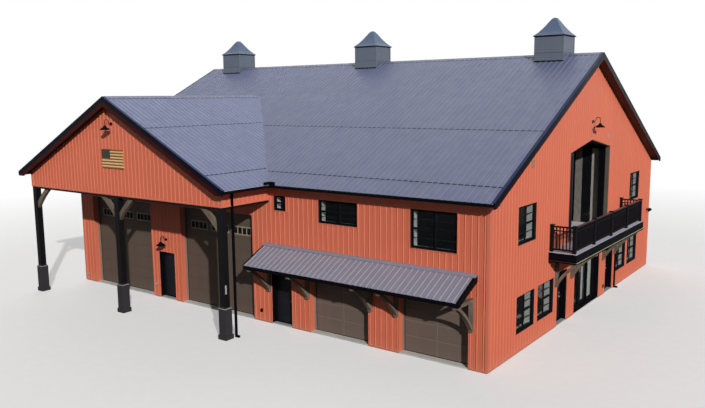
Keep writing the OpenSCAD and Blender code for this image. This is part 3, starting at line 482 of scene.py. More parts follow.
def roundRing(radius, sides=12):
    angles = [2 * math.pi * i / sides for i in range(sides)]
    return [(radius * math.cos(angle), radius * math.sin(angle)) for angle in angles]


def addSpin(shape, center, profile, sides):  # a profile of (radius, height) turned about Z
    points = [Vector(center) + Vector((x, y, height)) for radius, height in profile
              for x, y in roundRing(radius, sides)]
    addFaces(shape, points, ringFaces(len(profile), sides, False))


def makePiece(shape, name, finish, slot="black_trim", body="building", bevel=0, thick=0,
              smooth=False):
    mesh = bpy.data.meshes.new(name)
    mesh.from_pydata(shape["points"], [], shape["faces"])
    mesh.validate()
    mesh.materials.append(finishes[finish])
    piece = addObject(name, mesh)
    if smooth:
        for face in mesh.polygons:
            face.use_smooth = True
    if thick:
        shell = piece.modifiers.new("thickness", "SOLIDIFY")
        shell.thickness = thick
        shell.offset = -1
    if bevel:
        rounded = piece.modifiers.new("softEdges", "BEVEL")
        rounded.width = bevel
        rounded.segments = 2
        rounded.limit_method = "ANGLE"
    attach(piece, body)
    return piece


# Walls: u runs along a wall as seen from outside, out is away from its face

walls = {
    "front": ((0, -halfWidth), (1, 0), (0, -1)),
    "right": ((halfLength, 0), (0, 1), (1, 0)),
    "back": ((0, halfWidth), (-1, 0), (0, 1)),
    "left": ((-halfLength, 0), (0, -1), (-1, 0)),
    "porch": ((0, porchFront), (1, 0), (0, -1)),
    "porchRight": ((porchRight, 0), (0, 1), (1, 0)),
}


def onWall(wall, u, out, z):
    (x, y), along, away = walls[wall]
    return Vector((x + along[0] * u + away[0] * out, y + along[1] * u + away[1] * out, z))


def wallBox(shape, wall, u0, u1, out0, out1, z0, z1):
    addBox(shape, onWall(wall, u0, out0, z0), onWall(wall, u1, out1, z1))


def wallBoxes(wall, *boxes):
    shape = newShape()
    for box in boxes:
        wallBox(shape, wall, *box)
    return shape


def wallPrism(shape, wall, outline, shift):  # an outline of (u, out, z) points
    addPrism(shape, [onWall(wall, *point) for point in outline], shift)


def wallRing(shape, wall, middle, half, z0, z1, width, out0, out1, foot=True):
    shape = shape or newShape()
    a, b = middle - half, middle + half
    wallBox(shape, wall, a, a + width, out0, out1, z0, z1)
    wallBox(shape, wall, b - width, b, out0, out1, z0, z1)
    wallBox(shape, wall, a + width, b - width, out0, out1, z1 - width, z1)
    if foot:
        wallBox(shape, wall, a + width, b - width, out0, out1, z0, z0 + width)
    return shape


# Ribbed sheets

def ribHeight(u):
    offset = abs((u / ribs["pitch"] + 0.5) % 1.0 - 0.5) * ribs["pitch"]
    profile = ribs["profile"]
    for (a, ha), (b, hb) in zip(profile, profile[1:]):
        if offset <= b + 1e-9:
            return ribs["height"] * (ha + (hb - ha) * (offset - a) / (b - a))
    return 0.0


def ribCuts(low, high):
    step = ribs["pitch"]
    cuts = [i * step + side * offset for offset, _ in ribs["profile"] for side in (-1, 1)
            for i in range(math.floor(low / step) - 1, math.ceil(high / step) + 2)]
    return [c for c in cuts if low < c < high]


def ribbedSheet(name, finish, slot, low, high, foot, top, put, holes=(), breaks=(), lift=0.0):
    # the sheet from a level foot up to its top edge, in columns cut at folds, breaks and holes
    cuts = [low, high] + ribCuts(low, high) + [b for b in breaks if low < b < high]
    cuts += [u for hole in holes for u in hole[:2] if low < u < high]
    cuts = sorted(set(round(c, 5) for c in cuts))
    shape, known = newShape(), {}

    def corner(u, v):
        key = (round(u, 4), round(v, 4))
        if key not in known:
            known[key] = len(shape["points"])
            shape["points"].append(tuple(put(u, v, ribs["lift"] + lift + ribHeight(u))))
        return known[key]

    for a, b in zip(cuts, cuts[1:]):
        if b - a < 2e-4:
            continue
        nudge = (b - a) * 0.01
        left, right = a + nudge, b - nudge
        spans = [(foot, foot, top(left), top(right))]
        for u0, u1, holeFoot, holeTop in sorted(holes, key=lambda hole: hole[2]):
            if u0 - 1e-6 <= a and b <= u1 + 1e-6:
                lowLeft, lowRight, topLeft, topRight = spans.pop()
                spans.append((lowLeft, lowRight, holeFoot, holeFoot))
                spans.append((holeTop(left), holeTop(right), topLeft, topRight))
        for lowLeft, lowRight, topLeft, topRight in spans:
            if topLeft - lowLeft < 1e-4 and topRight - lowRight < 1e-4:
                continue
            ring = []
            for u, v in ((a, lowLeft), (b, lowRight), (b, max(topRight, lowRight)),
                         (a, max(topLeft, lowLeft))):
                index = corner(u, v)
                if index not in ring:
                    ring.append(index)
            if len(ring) > 2:
                shape["faces"].append(ring)
    makePiece(shape, name, finish, slot, thick=ribs["thick"])


def level(value):
    return lambda u: value


doors = {  # the middle of each along its wall, and the width and height of its hole
    "tall": (porchMid - 3.08, porchMid + 3.08), "tallSize": (4.22, 4.17),
    "low": (halfLength - 5.855, halfLength - 1.97), "lowSize": (2.6, 2.24),
    "front": (porchMid, halfLength - 8.585), "gable": (-2.855, 2.855), "walkSize": (1.01, 2.08),
    "glassSize": (3.02, 2.08), "loftHalf": 2.385, "loftSpring": 6.5, "loftRise": 0.39,
}
doorways = [(wall, u) + doors[size] for wall, places, size in (
    ("front", doors["tall"], "tallSize"), ("front", doors["low"], "lowSize"),
    ("front", doors["front"], "walkSize"), ("right", doors["gable"], "walkSize"),
    ("right", (0,), "glassSize")) for u in places]
lowWindow, highWindow = (1.49, 0.70, 1.99), (1.49, 3.745, 5.035)
endWindows = [(u,) + size for size in (lowWindow, highWindow) for u in (-6.31, 6.31)]
windows = {  # the middle, width, foot and head of each
    "front": [(halfLength - 8.585, 0.58, 4.475, 5.035), (halfLength - 5.855, 1.72, 4.195, 5.035),
              (halfLength - 1.97, 1.73, 3.735, 5.035)],
    "right": endWindows + [(u,) + lowWindow for u in (-4.505, 4.505)],
    "left": endWindows,
    "back": [(-x,) + lowWindow for x in doors["low"]]
    + [(-x,) + highWindow for x in doors["tall"] + doors["low"]],
}


def loftHead(u):  # the gabled head of the opening over the balcony
    return doors["loftSpring"] + doors["loftRise"] * (1 - abs(u) / doors["loftHalf"])


def holesIn(wall):
    holes = [(u - w / 2, u + w / 2, 0, level(high)) for side, u, w, high in doorways
             if side == wall]
    holes += [(u - w / 2, u + w / 2, z0, level(z1)) for u, w, z0, z1 in windows.get(wall, ())]
    if wall == "right":
        holes.append((-doors["loftHalf"], doors["loftHalf"], loft, loftHead))
    return holes


def sheetOn(wall):
    return lambda u, v, out: onWall(wall, u, out, v)


def makeSiding():
    def gable(u):
        return mainTop(u) - barn["roofDepth"]

    def porchGable(u):
        return porchTop(u) - barn["roofDepth"]
    eaves, gap = level(soffit), barn["porchGap"]
    for name, wall, low, high, foot, top, breaks in (
            ("UnderPorch", "front", -halfLength, porchRight, sheetFoot, level(clear), ()),
            ("Front", "front", porchRight, halfLength, sheetFoot, eaves, ()),
            ("Back", "back", -halfLength, halfLength, sheetFoot, eaves, ()),
            ("Right", "right", -halfWidth, halfWidth, sheetFoot, gable, [0.0]),
            ("Left", "left", -halfWidth, halfWidth, sheetFoot, gable, [0.0]),
            ("PorchGable", "porch", porchLeft, porchRight, clear, porchGable, [porchMid]),
            ("PorchRight", "porchRight", porchFront, -halfWidth - gap, clear, eaves, ()),
            ("PorchLeft", "left", halfWidth + gap, -porchFront, clear, eaves, ())):
        ribbedSheet("siding" + name, "siding", "red_siding", low, high, foot, top, sheetOn(wall),
                    holesIn(wall), breaks)


makeSiding()
print("siding made")


# Roofing: v runs down the plan from the ridge, and the sheet lies on the slope

def onMain(side):
    return lambda u, v, out: Vector((
        u, side * (v + out * pitch / slopeLength), ridgeHeight - pitch * v + out / slopeLength))


def onPorch(side):
    return lambda u, v, out: Vector((
        porchMid + side * (v + out * pitch / slopeLength), u,
        porchRidge - pitch * v + out / slopeLength))


roofing = {
    "eaveDrop": 0.03, "lap": 0.15, "lapLift": 0.004, "top": 0.03, "valleyGap": 0.05,
    "mainLaps": (5.644, 8.80), "porchLaps": (2.37, 5.58),  # from the ridge, in plan
    "capLap": 0.185, "closure": 0.03, "closureTop": 0.013, "closureStop": 0.03,
    "valley": 0.16, "valleyLift": 0.004, "valleyThick": 0.002,
}
# the plate in the corner where the two gutters meet
splashGuard = {"foot": 5.47, "head": 5.62, "side": 0.06, "reach": 0.36, "near": 0.064,
               "thick": 0.006}


def lapRuns(laps, eave):  # each course of sheets from under the one above it to its own lower edge
    starts = [roofing["top"]] + [lap - roofing["lap"] for lap in laps]
    return list(zip(starts, list(laps) + [eave]))


def layCourse(name, finish, low, high, runs, i, put, valley=None, breaks=()):
    start, stop = runs[i]

    def foot(u):  # a course stops where the valley cuts it
        return max(start, min(stop, valley(u))) if valley else stop
    ribbedSheet(name + str(i + 1), finish, "roof_metal", low, high, start, foot, put, (),
                breaks, roofing["lapLift"] * (len(runs) - 1 - i))


def makeRoofing():
    drop, gap = eaveRun + roofing["eaveDrop"], roofing["valleyGap"]
    runs = lapRuns(roofing["mainLaps"], halfWidth + drop)
    breaks = [porchMid] + [porchMid + side * (v - halfWidth + porchHalf + gap)
                           for side in (-1, 1) for run in runs for v in run]
    for i in range(len(runs)):
        layCourse("roofFront", "roofing", -roofEdge, roofEdge, runs, i, onMain(-1),
                  lambda u: halfWidth + abs(u - porchMid) - porchHalf - gap, breaks)
        layCourse("roofBack", "roofing", -roofEdge, roofEdge, runs, i, onMain(1))
    runs = lapRuns(roofing["porchLaps"], porchHalf + drop)
    reach = porchHalf - halfWidth - gap
    breaks = [reach - v for run in runs for v in run]
    for name, side in (("roofPorchLeft", -1), ("roofPorchRight", 1)):
        for i in range(len(runs)):
            layCourse(name, "porchRoofing", porchRoofEdge, reach - roofing["top"], runs, i,
                      onPorch(side), lambda u: reach - u, breaks)


def makeRoofTrim():
    # dark closures fill the hollows between the ribs where a course ends and under the ridge caps
    closures, wide, top = newShape(), roofing["closure"], roofing["closureTop"]

    def addStrip(put, u0, u1, v):
        ring = [put(u0, v, 0), put(u0, v + wide, 0), put(u0, v + wide, top), put(u0, v, top)]
        addPrism(closures, ring, put(u1, v, 0) - put(u0, v, 0))
    for side in (-1, 1):
        for v in roofing["mainLaps"] + (roofing["capLap"],):
            reach = v - halfWidth + porchHalf + roofing["valleyGap"]
            start = porchMid + reach if side < 0 < reach else -roofEdge
            addStrip(onMain(side), start, roofEdge, v)
        for v in roofing["porchLaps"] + (roofing["capLap"],):
            back = porchHalf - halfWidth - roofing["valleyGap"] - v
            addStrip(onPorch(side), porchRoofEdge, back - roofing["closureStop"], v)
    makePiece(closures, "roofClosures", "black")

    # open valleys: a shallow trough of plain sheet that the courses stop beside
    valleys, wide, lift = newShape(), roofing["valley"], roofing["valleyLift"]
    reach = porchHalf + eaveRun
    for side in (-1, 1):
        for flap in ((side * wide, 0, 0), (0, -wide, 0)):
            top = Vector((porchMid, porchHalf - halfWidth, porchRidge + lift))
            foot = Vector((porchMid + side * reach, -halfWidth - eaveRun,
                           porchRidge - pitch * reach + lift))
            if side < 0:
                foot = top.lerp(foot, porchHalf / reach)
            addPrism(valleys, [top, foot, foot + Vector(flap), top + Vector(flap)],
                     (0, 0, roofing["valleyThick"]))
    makePiece(valleys, "roofValleys", "ridge", "roof_metal")

    guard = newShape()
    x, y = porchRight + eaveRun, -halfWidth - eaveRun
    low, high, start, far, near, thick = splashGuard.values()
    back = near + thick
    addBox(guard, (x + start, y - back, low), (x + far, y - near, high))
    addBox(guard, (x + near, y - far, low), (x + back, y - near, high))
    makePiece(guard, "gutterSplashGuard", "black", bevel=0.001)


makeRoofing()
makeRoofTrim()

awning = {
    "left": 1.278, "right": 10.288, "depth": 1.219, "height": 3.12, "edge": 0.13, "trim": 0.09,
    "side": 0.012, "lip": 0.014, "sheetIn": 0.02, "sheetDrop": 0.02, "lap": 0.03,
    "overRibs": 0.006, "gap": 0.004, "fold": 0.07, "foldDrop": 0.01,
    # the folded strip where the sheets meet the wall: distance from the wall, height
    "flashing": ((0.022, 3.175), (0.026, 3.175), (0.028, 3.142), (0.14, 3.085), (0.142, 3.075),
                 (0.022, 3.128)),
    "bays": 10, "rafter": 0.04, "rafterTop": -0.14, "rafterFoot": -0.20,
    "rafterFrom": 0.06, "rafterStop": 0.07,
}


def onAwning(u, v, out):
    return Vector((u, -halfWidth - v - out * pitch / slopeLength,
                   awning["height"] - pitch * v + out / slopeLength))


def makeAwning():
    left, right, deep, edge = (awning[key] for key in ("left", "right", "depth", "edge"))
    over, trim, lip = awning["side"], awning["trim"], awning["lip"]
    ribbedSheet("awningSheets", "awning", "awning_metal", left + awning["sheetIn"],
                right - trim, 0.0, level(deep + awning["sheetDrop"]), onAwning)
    edges = newShape()
    top, lap = ribs["height"] + awning["overRibs"], awning["lap"]
    for u0, u1 in ((left - over, left + lap), (right - trim, right + over)):
        side = ((0.0, top), (deep + over, top), (deep + over, -edge), (lap, -edge - lap))
        addPrism(edges, [onAwning(u0, v, out) for v, out in side], (u1 - u0, 0, 0))
    y, z = -halfWidth - deep, awning["height"] - pitch * deep
    foot = z - edge - awning["foldDrop"]
    for back, head in ((y, z - awning["gap"]), (y + awning["fold"], z - edge)):
        addBox(edges, (left - over, y - lip, foot), (right + over, back, head))
    makePiece(edges, "awningEdges", "black", bevel=0.003)
    flashing = newShape()
    ring = [(left, -halfWidth - out, z) for out, z in awning["flashing"]]
    addPrism(flashing, ring, (right - left, 0, 0))
    makePiece(flashing, "awningFlashing", "awningTrim", "awning_metal")
    rafters = newShape()
    near, far = awning["rafterFrom"], deep - awning["rafterStop"]
    top, foot = awning["rafterTop"], awning["rafterFoot"]
    for i in range(1, awning["bays"]):
        u = left + (right - left) * i / awning["bays"]
        ring = [onAwning(u, *p) for p in ((near, top), (far, top), (far, foot), (near, foot))]
        addPrism(rafters, ring, (awning["rafter"], 0, 0))
    makePiece(rafters, "awningRafters", "blackTimber", "black_timber")


makeAwning()
print("roofing made")


# Folded trims where the wall sheets end, and the lining of the tall opening

edging = {"corner": 0.10, "cornerOut": 0.024, "fold": 0.014, "lip": 0.004, "frame": 0.032,
          "frameOut": 0.023, "foot": 0.05, "footOut": 0.026, "porchFoot": 0.045, "porchDrop": 0.09,
          "porchLap": 0.004}
reveal = {"deep": 0.163, "thick": 0.02}
nearLeaf = {"middle": 0.315, "half": 0.27, "foot": 0.01, "head": 0.04, "rail": 0.11,
            "out": (-0.14, -0.07), "field": (-0.115, -0.095)}


def addCorner(shape, at, a, b, low, high):
    # a flange along each wall that stands out most at the corner; a and b lead away from it
    wide, out, fold, lip = (edging[key] for key in ("corner", "cornerOut", "fold", "lip"))
    plan = ((wide, 0), (wide, -lip), (wide - fold, -out), (-out, -out), (-out, wide - fold),
            (-lip, wide), (0, wide), (0, 0))
    ring = [(at[0] + a * p, at[1] + b * q, low) for p, q in plan]
    addPrism(shape, ring, (0, 0, high - low))


def makeWallTrim():
    trim = newShape()
    x, y = halfLength, halfWidth
    for at, a, b, low, high in (
            ((x, -y), -1, 1, sheetFoot, soffit), ((x, y), -1, -1, sheetFoot, soffit),
            ((-x, y), 1, -1, sheetFoot, soffit),
            ((-x, -y), 1, 1, sheetFoot, clear - edging["porchDrop"]),
            ((porchLeft, porchFront), 1, 1, clear, soffit),
            ((porchRight, porchFront), -1, 1, clear, soffit)):
        addCorner(trim, at, a, b, low, high)
    wide, out = edging["frame"], edging["frameOut"]
    for wall, places in windows.items():
        for u, w, z0, z1 in places:
            wallRing(trim, wall, u, w / 2 + wide, z0 - wide, z1 + wide, wide, 0, out)
    for wall, u, w, high in doorways:
        wallRing(trim, wall, u, w / 2 + wide, sheetFoot, high + wide, wide, 0, out, False)
    footOut = edging["footOut"]
    for wall, reach in (("front", x), ("right", y), ("back", x), ("left", y)):
        start = -reach
        stops = sorted((u - w / 2 - wide, u + w / 2 + wide) for side, u, w, _ in doorways
                       if side == wall)
        for a, b in stops + [(reach, reach)]:
            wallBox(trim, wall, start, a, 0, footOut, sheetFoot, sheetFoot + edging["foot"])
            start = b
    for wall, low, high in (("porch", porchLeft, porchRight),
                            ("porchRight", porchFront, -y - barn["porchGap"])):
        wallBox(trim, wall, low, high, 0, footOut, clear - edging["porchLap"],
                clear + edging["porchFoot"])
    makePiece(trim, "wallTrims", "sidingTrim", "red_siding", bevel=0.002)

    # the tall opening above the balcony, following its gabled head
    loftTrim, lining = newShape(), newShape()
    half, spring = doors["loftHalf"], doors["loftSpring"]
    deep, thick = reveal["deep"], reveal["thick"]
    peak = spring + doors["loftRise"]
    for side in (-1, 1):
        a, b = side * half, side * (half + wide)
        wallBox(loftTrim, "right", a, b, 0, out, loft, spring)
        wallPrism(loftTrim, "right", ((a, 0, spring), (0, 0, peak), (0, 0, peak + wide),
                                      (b, 0, spring)), (out, 0, 0))
        wallBox(lining, "right", a, side * (half - thick), -deep, 0.0, loft, spring)
        wallPrism(lining, "right", ((a, -deep, spring), (0, -deep, peak), (0, -deep, peak - thick),
                                    (a, -deep, spring - thick)), (deep, 0, 0))
    makePiece(loftTrim, "loftOpeningTrim", "sidingTrim", "red_siding")
    makePiece(lining, "loftReveal", "olive", "weathered_timber")

    # the dark leaf that stands in the near side of the opening
    middle, reach, rail = nearLeaf["middle"] - half, nearLeaf["half"], nearLeaf["rail"]
    low, high = loft + nearLeaf["foot"], spring - nearLeaf["head"]
    stiles = wallRing(None, "right", middle, reach, low, high, rail, *nearLeaf["out"])
    wallBox(stiles, "right", middle - reach + rail, middle + reach - rail, *nearLeaf["field"],
            low + rail, high - rail)
    makePiece(stiles, "loftNearLeaf", "doorPaint", bevel=0.004)


makeWallTrim()
print("wall trims made")


# Overhead doors: pressed sections with a joint between them, set in timber jambs

overhead = {
    "foot": 0.05, "lift": 0.02, "joint": 0.010, "skin": 0.010, "field": 0.005, "margin": 0.07,
    "jamb": 0.03, "jambBack": 0.004, "jambIn": 0.10, "play": 0.004, "back": -0.30,
    "lineOut": 0.0145, "lineHalf": 0.013, "lineTop": 0.02, "seal": 0.014, "sealOut": 0.016,
    "paneRow": (3.25, 3.59), "paneWidth": 1.0, "paneColumns": (-1.255, 0.0, 1.255),
    "paneFrame": 0.05, "paneLap": 0.01, "paneBar": 0.035, "panes": 4, "frameOut": 0.024,
    "barOut": 0.022, "barLap": 0.04,
}


def addPaneRow(sheet, frames, middle, half, low, high):
    z0, z1 = overhead["paneRow"]
    back, bar = overhead["back"], overhead["paneBar"] / 2
    skin, wide, lap = back + overhead["skin"], overhead["paneWidth"] / 2, overhead["paneLap"]
    places = [middle + column for column in overhead["paneColumns"]]
    edges = [middle - half] + [c + s * wide for c in places for s in (-1, 1)] + [middle + half]
    for a, b in zip(edges[::2], edges[1::2]):
        wallBox(sheet, "front", a, b, back, skin, z0, z1)
    for a, b in ((low, z0), (z1, high)):
        wallBox(sheet, "front", middle - half, middle + half, back, skin, a, b)
    for c in places:
        wallRing(frames, "front", c, wide + lap, z0 - lap, z1 + lap, overhead["paneFrame"], back,
                 back + overhead["frameOut"])
        for k in range(1, overhead["panes"]):
            u = c - wide + 2 * wide * k / overhead["panes"]
            wallBox(frames, "front", u - bar, u + bar, back, back + overhead["barOut"],
                    z0 + overhead["barLap"], z1 - overhead["barLap"])


def makeOverheadDoor(name, middle, size, rows, columns, paint, paneSection=None):
    back, jamb, margin, joint = (overhead[key] for key in ("back", "jamb", "margin", "joint"))
    (width, height), skin, foot = size, back + overhead["skin"], overhead["foot"]
    half, bottom, head = width / 2 - jamb - overhead["play"], foot + overhead["lift"], height - jamb
    step, column = (head - bottom) / rows, 2 * half / columns
    left, right = middle - half, middle + half
    sheet, fields, frames = newShape(), newShape(), newShape()
    for i in range(rows):
        low, high = bottom + i * step, bottom + (i + 1) * step - joint
        if i == paneSection:
            addPaneRow(sheet, frames, middle, half, low, high)
            continue
        wallBox(sheet, "front", left, right, back, skin, low, high)
        for j in range(columns):
            a = left + j * column
            wallBox(fields, "front", a + margin, a + column - margin, skin,
                    skin + overhead["field"], low + margin, high - margin)
    makePiece(sheet, name + "Sections", paint, "brown_door", bevel=0.004)
    makePiece(fields, name + "Fields", paint, "brown_door", bevel=0.004)
    if paneSection:
        makePiece(frames, name + "PaneFrames", "tan", "brown_door", bevel=0.003)
    else:  # paler lines where the low doors' sections and fields meet, painted highlights of the edges there
        near, thin = back + overhead["lineOut"], overhead["lineHalf"]
        heights = [bottom + i * step - joint / 2 for i in range(1, rows)]
        middleLine = (middle - thin, middle + thin, skin, near, bottom, head - overhead["lineTop"])
        lines = wallBoxes("front", middleLine,
                          *((left, right, skin, near, z - thin, z + thin) for z in heights))
        makePiece(lines, name + "JointHighlights", "joint", "brown_door", bevel=0.002)
    jambs = wallRing(None, "front", middle, width / 2, foot, height, jamb,
                     back + overhead["jambBack"], back + overhead["jambIn"], False)
    makePiece(jambs, name + "Jambs", "jamb", "weathered_timber", bevel=0.003)
    seal = wallRing(None, "front", middle, width / 2 - jamb, foot, head, overhead["seal"], skin,
                    skin + overhead["sealOut"])
    makePiece(seal, name + "Seal", "black")


for name, middle in zip(("leftTallDoor", "rightTallDoor"), doors["tall"]):
    makeOverheadDoor(name, middle, doors["tallSize"], 8, 3, "brown", 6)
for name, middle in zip(("leftLowDoor", "rightLowDoor"), doors["low"]):
    makeOverheadDoor(name, middle, doors["lowSize"], 4, 2, "lowBrown")
print("overhead doors made")


# Hinged doors: two moulded panels and a lever on each face, a threshold and a black lining

leaf = {
    "faces": ((-0.245, 1), (-0.290, -1)),  # where each face lies, and which way it looks
    "panels": ((0.24, 0.92), (1.06, 1.90)), "panelHalf": 0.335, "moulding": 0.028,
    "stand": 0.007, "field": 0.07, "leverAt": (0.387, 0.96),
    # rose, neck and bolt: height over the lever, start, end, radius and sides
    "rounds": ((0, 0, 0.010, 0.029, 20), (0, 0.010, 0.040, 0.011, 12), (0.14, 0, 0.014, 0.027, 20)),
    "grip": ((0.040, -0.012), (0.041, 0.05), (0.040, 0.122)),  # out from the face, and along it
    "gripHalf": (0.009, 0.011), "sill": (-0.235, 0.018, 0.050, 0.066), "sillEnd": 0.042,
    "lining": (0.006, -0.15, 0.004), "liningFoot": 0.05,
}


def makeHingedDoor(piece, wall, middle, body):
    panels, lever = newShape(), newShape()
    (u, z), inset, stand = leaf["leverAt"], leaf["field"], leaf["stand"]
    half = leaf["panelHalf"]
    for face, away in leaf["faces"]:
        for low, high in leaf["panels"]:
            wallRing(panels, wall, middle, half, low, high, leaf["moulding"], face,
                     face + away * stand)
            wallBox(panels, wall, middle - half + inset, middle + half - inset, face,
                    face + away * 0.5 * stand, low + inset, high - inset)
        base = onWall(wall, middle + u, face, z)
        outward = onWall(wall, middle + u, face + away, z) - base
        along = onWall(wall, middle + u - 1, face, z) - base
        for up, start, stop, radius, sides in leaf["rounds"]:
            at = base + Vector((0, 0, up))
            addTube(lever, [at + outward * start, at + outward * stop], roundRing(radius, sides))
        wide, deep = leaf["gripHalf"]
        addTube(lever, [base + outward * out + along * run for out, run in leaf["grip"]],
                [(a * wide, b * deep) for a, b in quarters])
    makePiece(panels, piece + "Panels", "doorPaint", "black_door", body, bevel=0.002)
    makePiece(lever, piece + "Lever", "zinc", "black_door", body, bevel=0.002)
    half, height = doors["walkSize"][0] / 2, doors["walkSize"][1]
    reach = half - leaf["sillEnd"]
    makePiece(wallBoxes(wall, (middle - reach, middle + reach) + leaf["sill"]),
              piece + "Threshold", "zinc", bevel=0.004)
    makePiece(wallRing(None, wall, middle, half, leaf["liningFoot"], height, *leaf["lining"],
                       False), piece + "Lining", "black")


for piece, wall, middle, body in (
        ("porchDoor", "front", doors["front"][0], "porch_door_leaf"),
        ("frontDoor", "front", doors["front"][1], "front_door_leaf"),
        ("nearGableDoor", "right", doors["gable"][0], "gable_door_near_leaf"),
        ("farGableDoor", "right", doors["gable"][1], "gable_door_far_leaf")):
    makeHingedDoor(piece, wall, middle, body)

# pale upright blinds, drawn to one side behind the glass door's panes
blinds = {"start": 0.36, "count": 22, "step": 0.088, "half": 0.043, "depth": 0.335, "foot": 0.11,
          "head": 2.09, "turn": 0.008, "thin": 0.003, "railStart": -1.46, "rail": 0.05,
          "railIn": 0.03, "railOut": 0.012}
glassDoor = {"lining": (0.008, -0.115, 0.004), "foot": 0.05, "sillEnd": 0.01,
             "sill": (-0.115, 0.014, 0.050, 0.064)}


def makeGlassDoor():
    half, height = doors["glassSize"][0] / 2, doors["glassSize"][1]
    makePiece(wallRing(None, "right", 0, half, glassDoor["foot"], height, *glassDoor["lining"],
                       False), "glassDoorLining", "black")
    reach = half - glassDoor["sillEnd"]
    makePiece(wallBoxes("right", (-reach, reach) + glassDoor["sill"]),
              "glassDoorThreshold", "black", bevel=0.004)
    low, high, step, deep = (blinds[key] for key in ("foot", "head", "step", "depth"))
    turn, thin = blinds["turn"], blinds["thin"]
    slats = wallBoxes("right", (blinds["railStart"], blinds["start"] + blinds["count"] * step,
                                -deep - blinds["railIn"], -deep + blinds["railOut"], high,
                                high + blinds["rail"]))
    plan = ((-1, turn), (0, 0), (1, 0), (1, thin), (0, thin), (-1, turn + thin))
    for i in range(blinds["count"]):
        u = blinds["start"] + i * step
        wallPrism(slats, "right", [(u + s * blinds["half"], -deep - back, low) for s, back in plan],
                  (0, 0, high - low))
    makePiece(slats, "glassDoorBlinds", "white", "black_door")


makeGlassDoor()
print("doors made")


# Windows: a white lining seen through the clear panes, a black skin round the hole up to the
# wall's face, glazing beads, and a bar across each tall pane

window = {
    "paneOut": -0.090, "paneIn": -0.103, "liningIn": -0.302, "frameIn": -0.151, "frame": 0.060,
    "skin": 0.005, "bead": 0.014, "beadOut": -0.066, "barHalf": 0.010, "barOut": -0.074,
    "rail": 0.022, "mullion": 0.035, "twin": 1.3, "squat": 0.7, "sill": 0.03,
    "edge": (0.006, -0.042, 0.0235),
}


def makeWindows():
    lining, bars, beads = newShape(), newShape(), newShape()
    sash, skin, rail, bar, mullion = (
        window[key] for key in ("frame", "skin", "rail", "barHalf", "mullion"))
    deep, back, paneOut = window["liningIn"], window["frameIn"], window["paneOut"]
    for wall, (u, w, z0, z1) in ((wall, at) for wall in windows for at in windows[wall]):
        half, middle = w / 2, (z0 + z1) / 2
        inner, low, high = half - sash, z0 + sash, z1 - sash
        wallRing(lining, wall, u, half, z0, z1, sash + skin, deep, back, False)
        wallBox(lining, wall, u - inner + skin, u + inner - skin, deep, back, z0,
                z0 + window["sill"])
        wallRing(lining, wall, u, inner, low, high, skin, back, window["paneIn"], False)
        wallRing(beads, wall, u, half, z0, z1, *window["edge"])
        panes = [(u, inner)]
        if w > window["twin"]:
            panes = [(u + side * (inner + mullion) / 2, (inner - mullion) / 2) for side in (-1, 1)]
        for at, reach in panes:
            for foot, head in ((low, middle - rail), (middle + rail, high)):
                wallRing(beads, wall, at, reach, foot, head, window["bead"], paneOut,
                         window["beadOut"])
                if z1 - z0 >= window["squat"]:
                    z = (foot + head) / 2
                    wallBox(bars, wall, at - reach, at + reach, paneOut, window["barOut"],
                            z - bar, z + bar)
    makePiece(lining, "windowLinings", "white")
    makePiece(bars, "windowBars", "bar")
    makePiece(beads, "windowBeads", "bar", bevel=0.002)


makeWindows()
print("windows made")


# Balcony: deck boards, a pale drip edge, joists under the deck and a cap on the handrail

balcony = {
    "half": 4.29, "deep": 1.03, "board": 0.14, "boardGap": 0.006, "boardTop": 3.064,
    "lip": 0.012, "drip": (2.728, 2.757), "strip": (0.002, 0.034), "cap": (4.009, 4.025),
    "postLine": 0.90, "capHalf": 0.05, "railHalf": 4.16, "bays": 4, "post": 0.12,
    "joistBays": 14, "joistHalf": 0.02, "joist": (2.78, 2.95), "joistStop": 0.06,
}


def makeBalcony():
    half, deep, lip, post = (balcony[key] for key in ("half", "deep", "lip", "post"))
    (near, far), low, high = balcony["strip"], *balcony["drip"]
    count = round((deep + lip) / balcony["board"])
    step = (deep + lip) / count
    boards = ((-half - lip, half + lip, near + i * step, (i + 1) * step - balcony["boardGap"],
               loft, balcony["boardTop"]) for i in range(count))
    drip = (-half - far, half + far, deep + near, deep + far, low, high)
    ends = ((side * (half + near), side * (half + far), 0, deep + near, low, high)
            for side in (-1, 1))
    line, bay = balcony["postLine"], 2 * balcony["railHalf"] / balcony["bays"]
    starts = [i * bay - balcony["railHalf"] for i in range(balcony["bays"])]
    caps = ((u + post / 2, u + bay - post / 2, line - balcony["capHalf"],
             line + balcony["capHalf"]) + balcony["cap"] for u in starts)
    thin, bays = balcony["joistHalf"], balcony["joistBays"]
    middles = [half * (2 * i / bays - 1) for i in range(1, bays)]
    joists = ((u - thin, u + thin, near, deep - balcony["joistStop"]) + balcony["joist"]
              for u in middles)
    for name, boxes, finish, slot, bevel in (
            ("balconyBoards", boards, "deckBoards", "weathered_timber", 0.002),
            ("balconyDripEdge", (drip,), "drip", "weathered_timber", 0.002),
            ("balconyEndStrips", ends, "topRail", "weathered_timber", 0.002),
            ("handrailCaps", caps, "topRail", "black_trim", 0.003),
            ("balconyJoists", joists, "blackTimber", "black_timber", 0)):
        makePiece(wallBoxes("right", *boxes), name, finish, slot, bevel=bevel)


makeBalcony()


# Cupolas: lapped boards, corner boards, a dark eave line and a bell-cast roof with capped hips

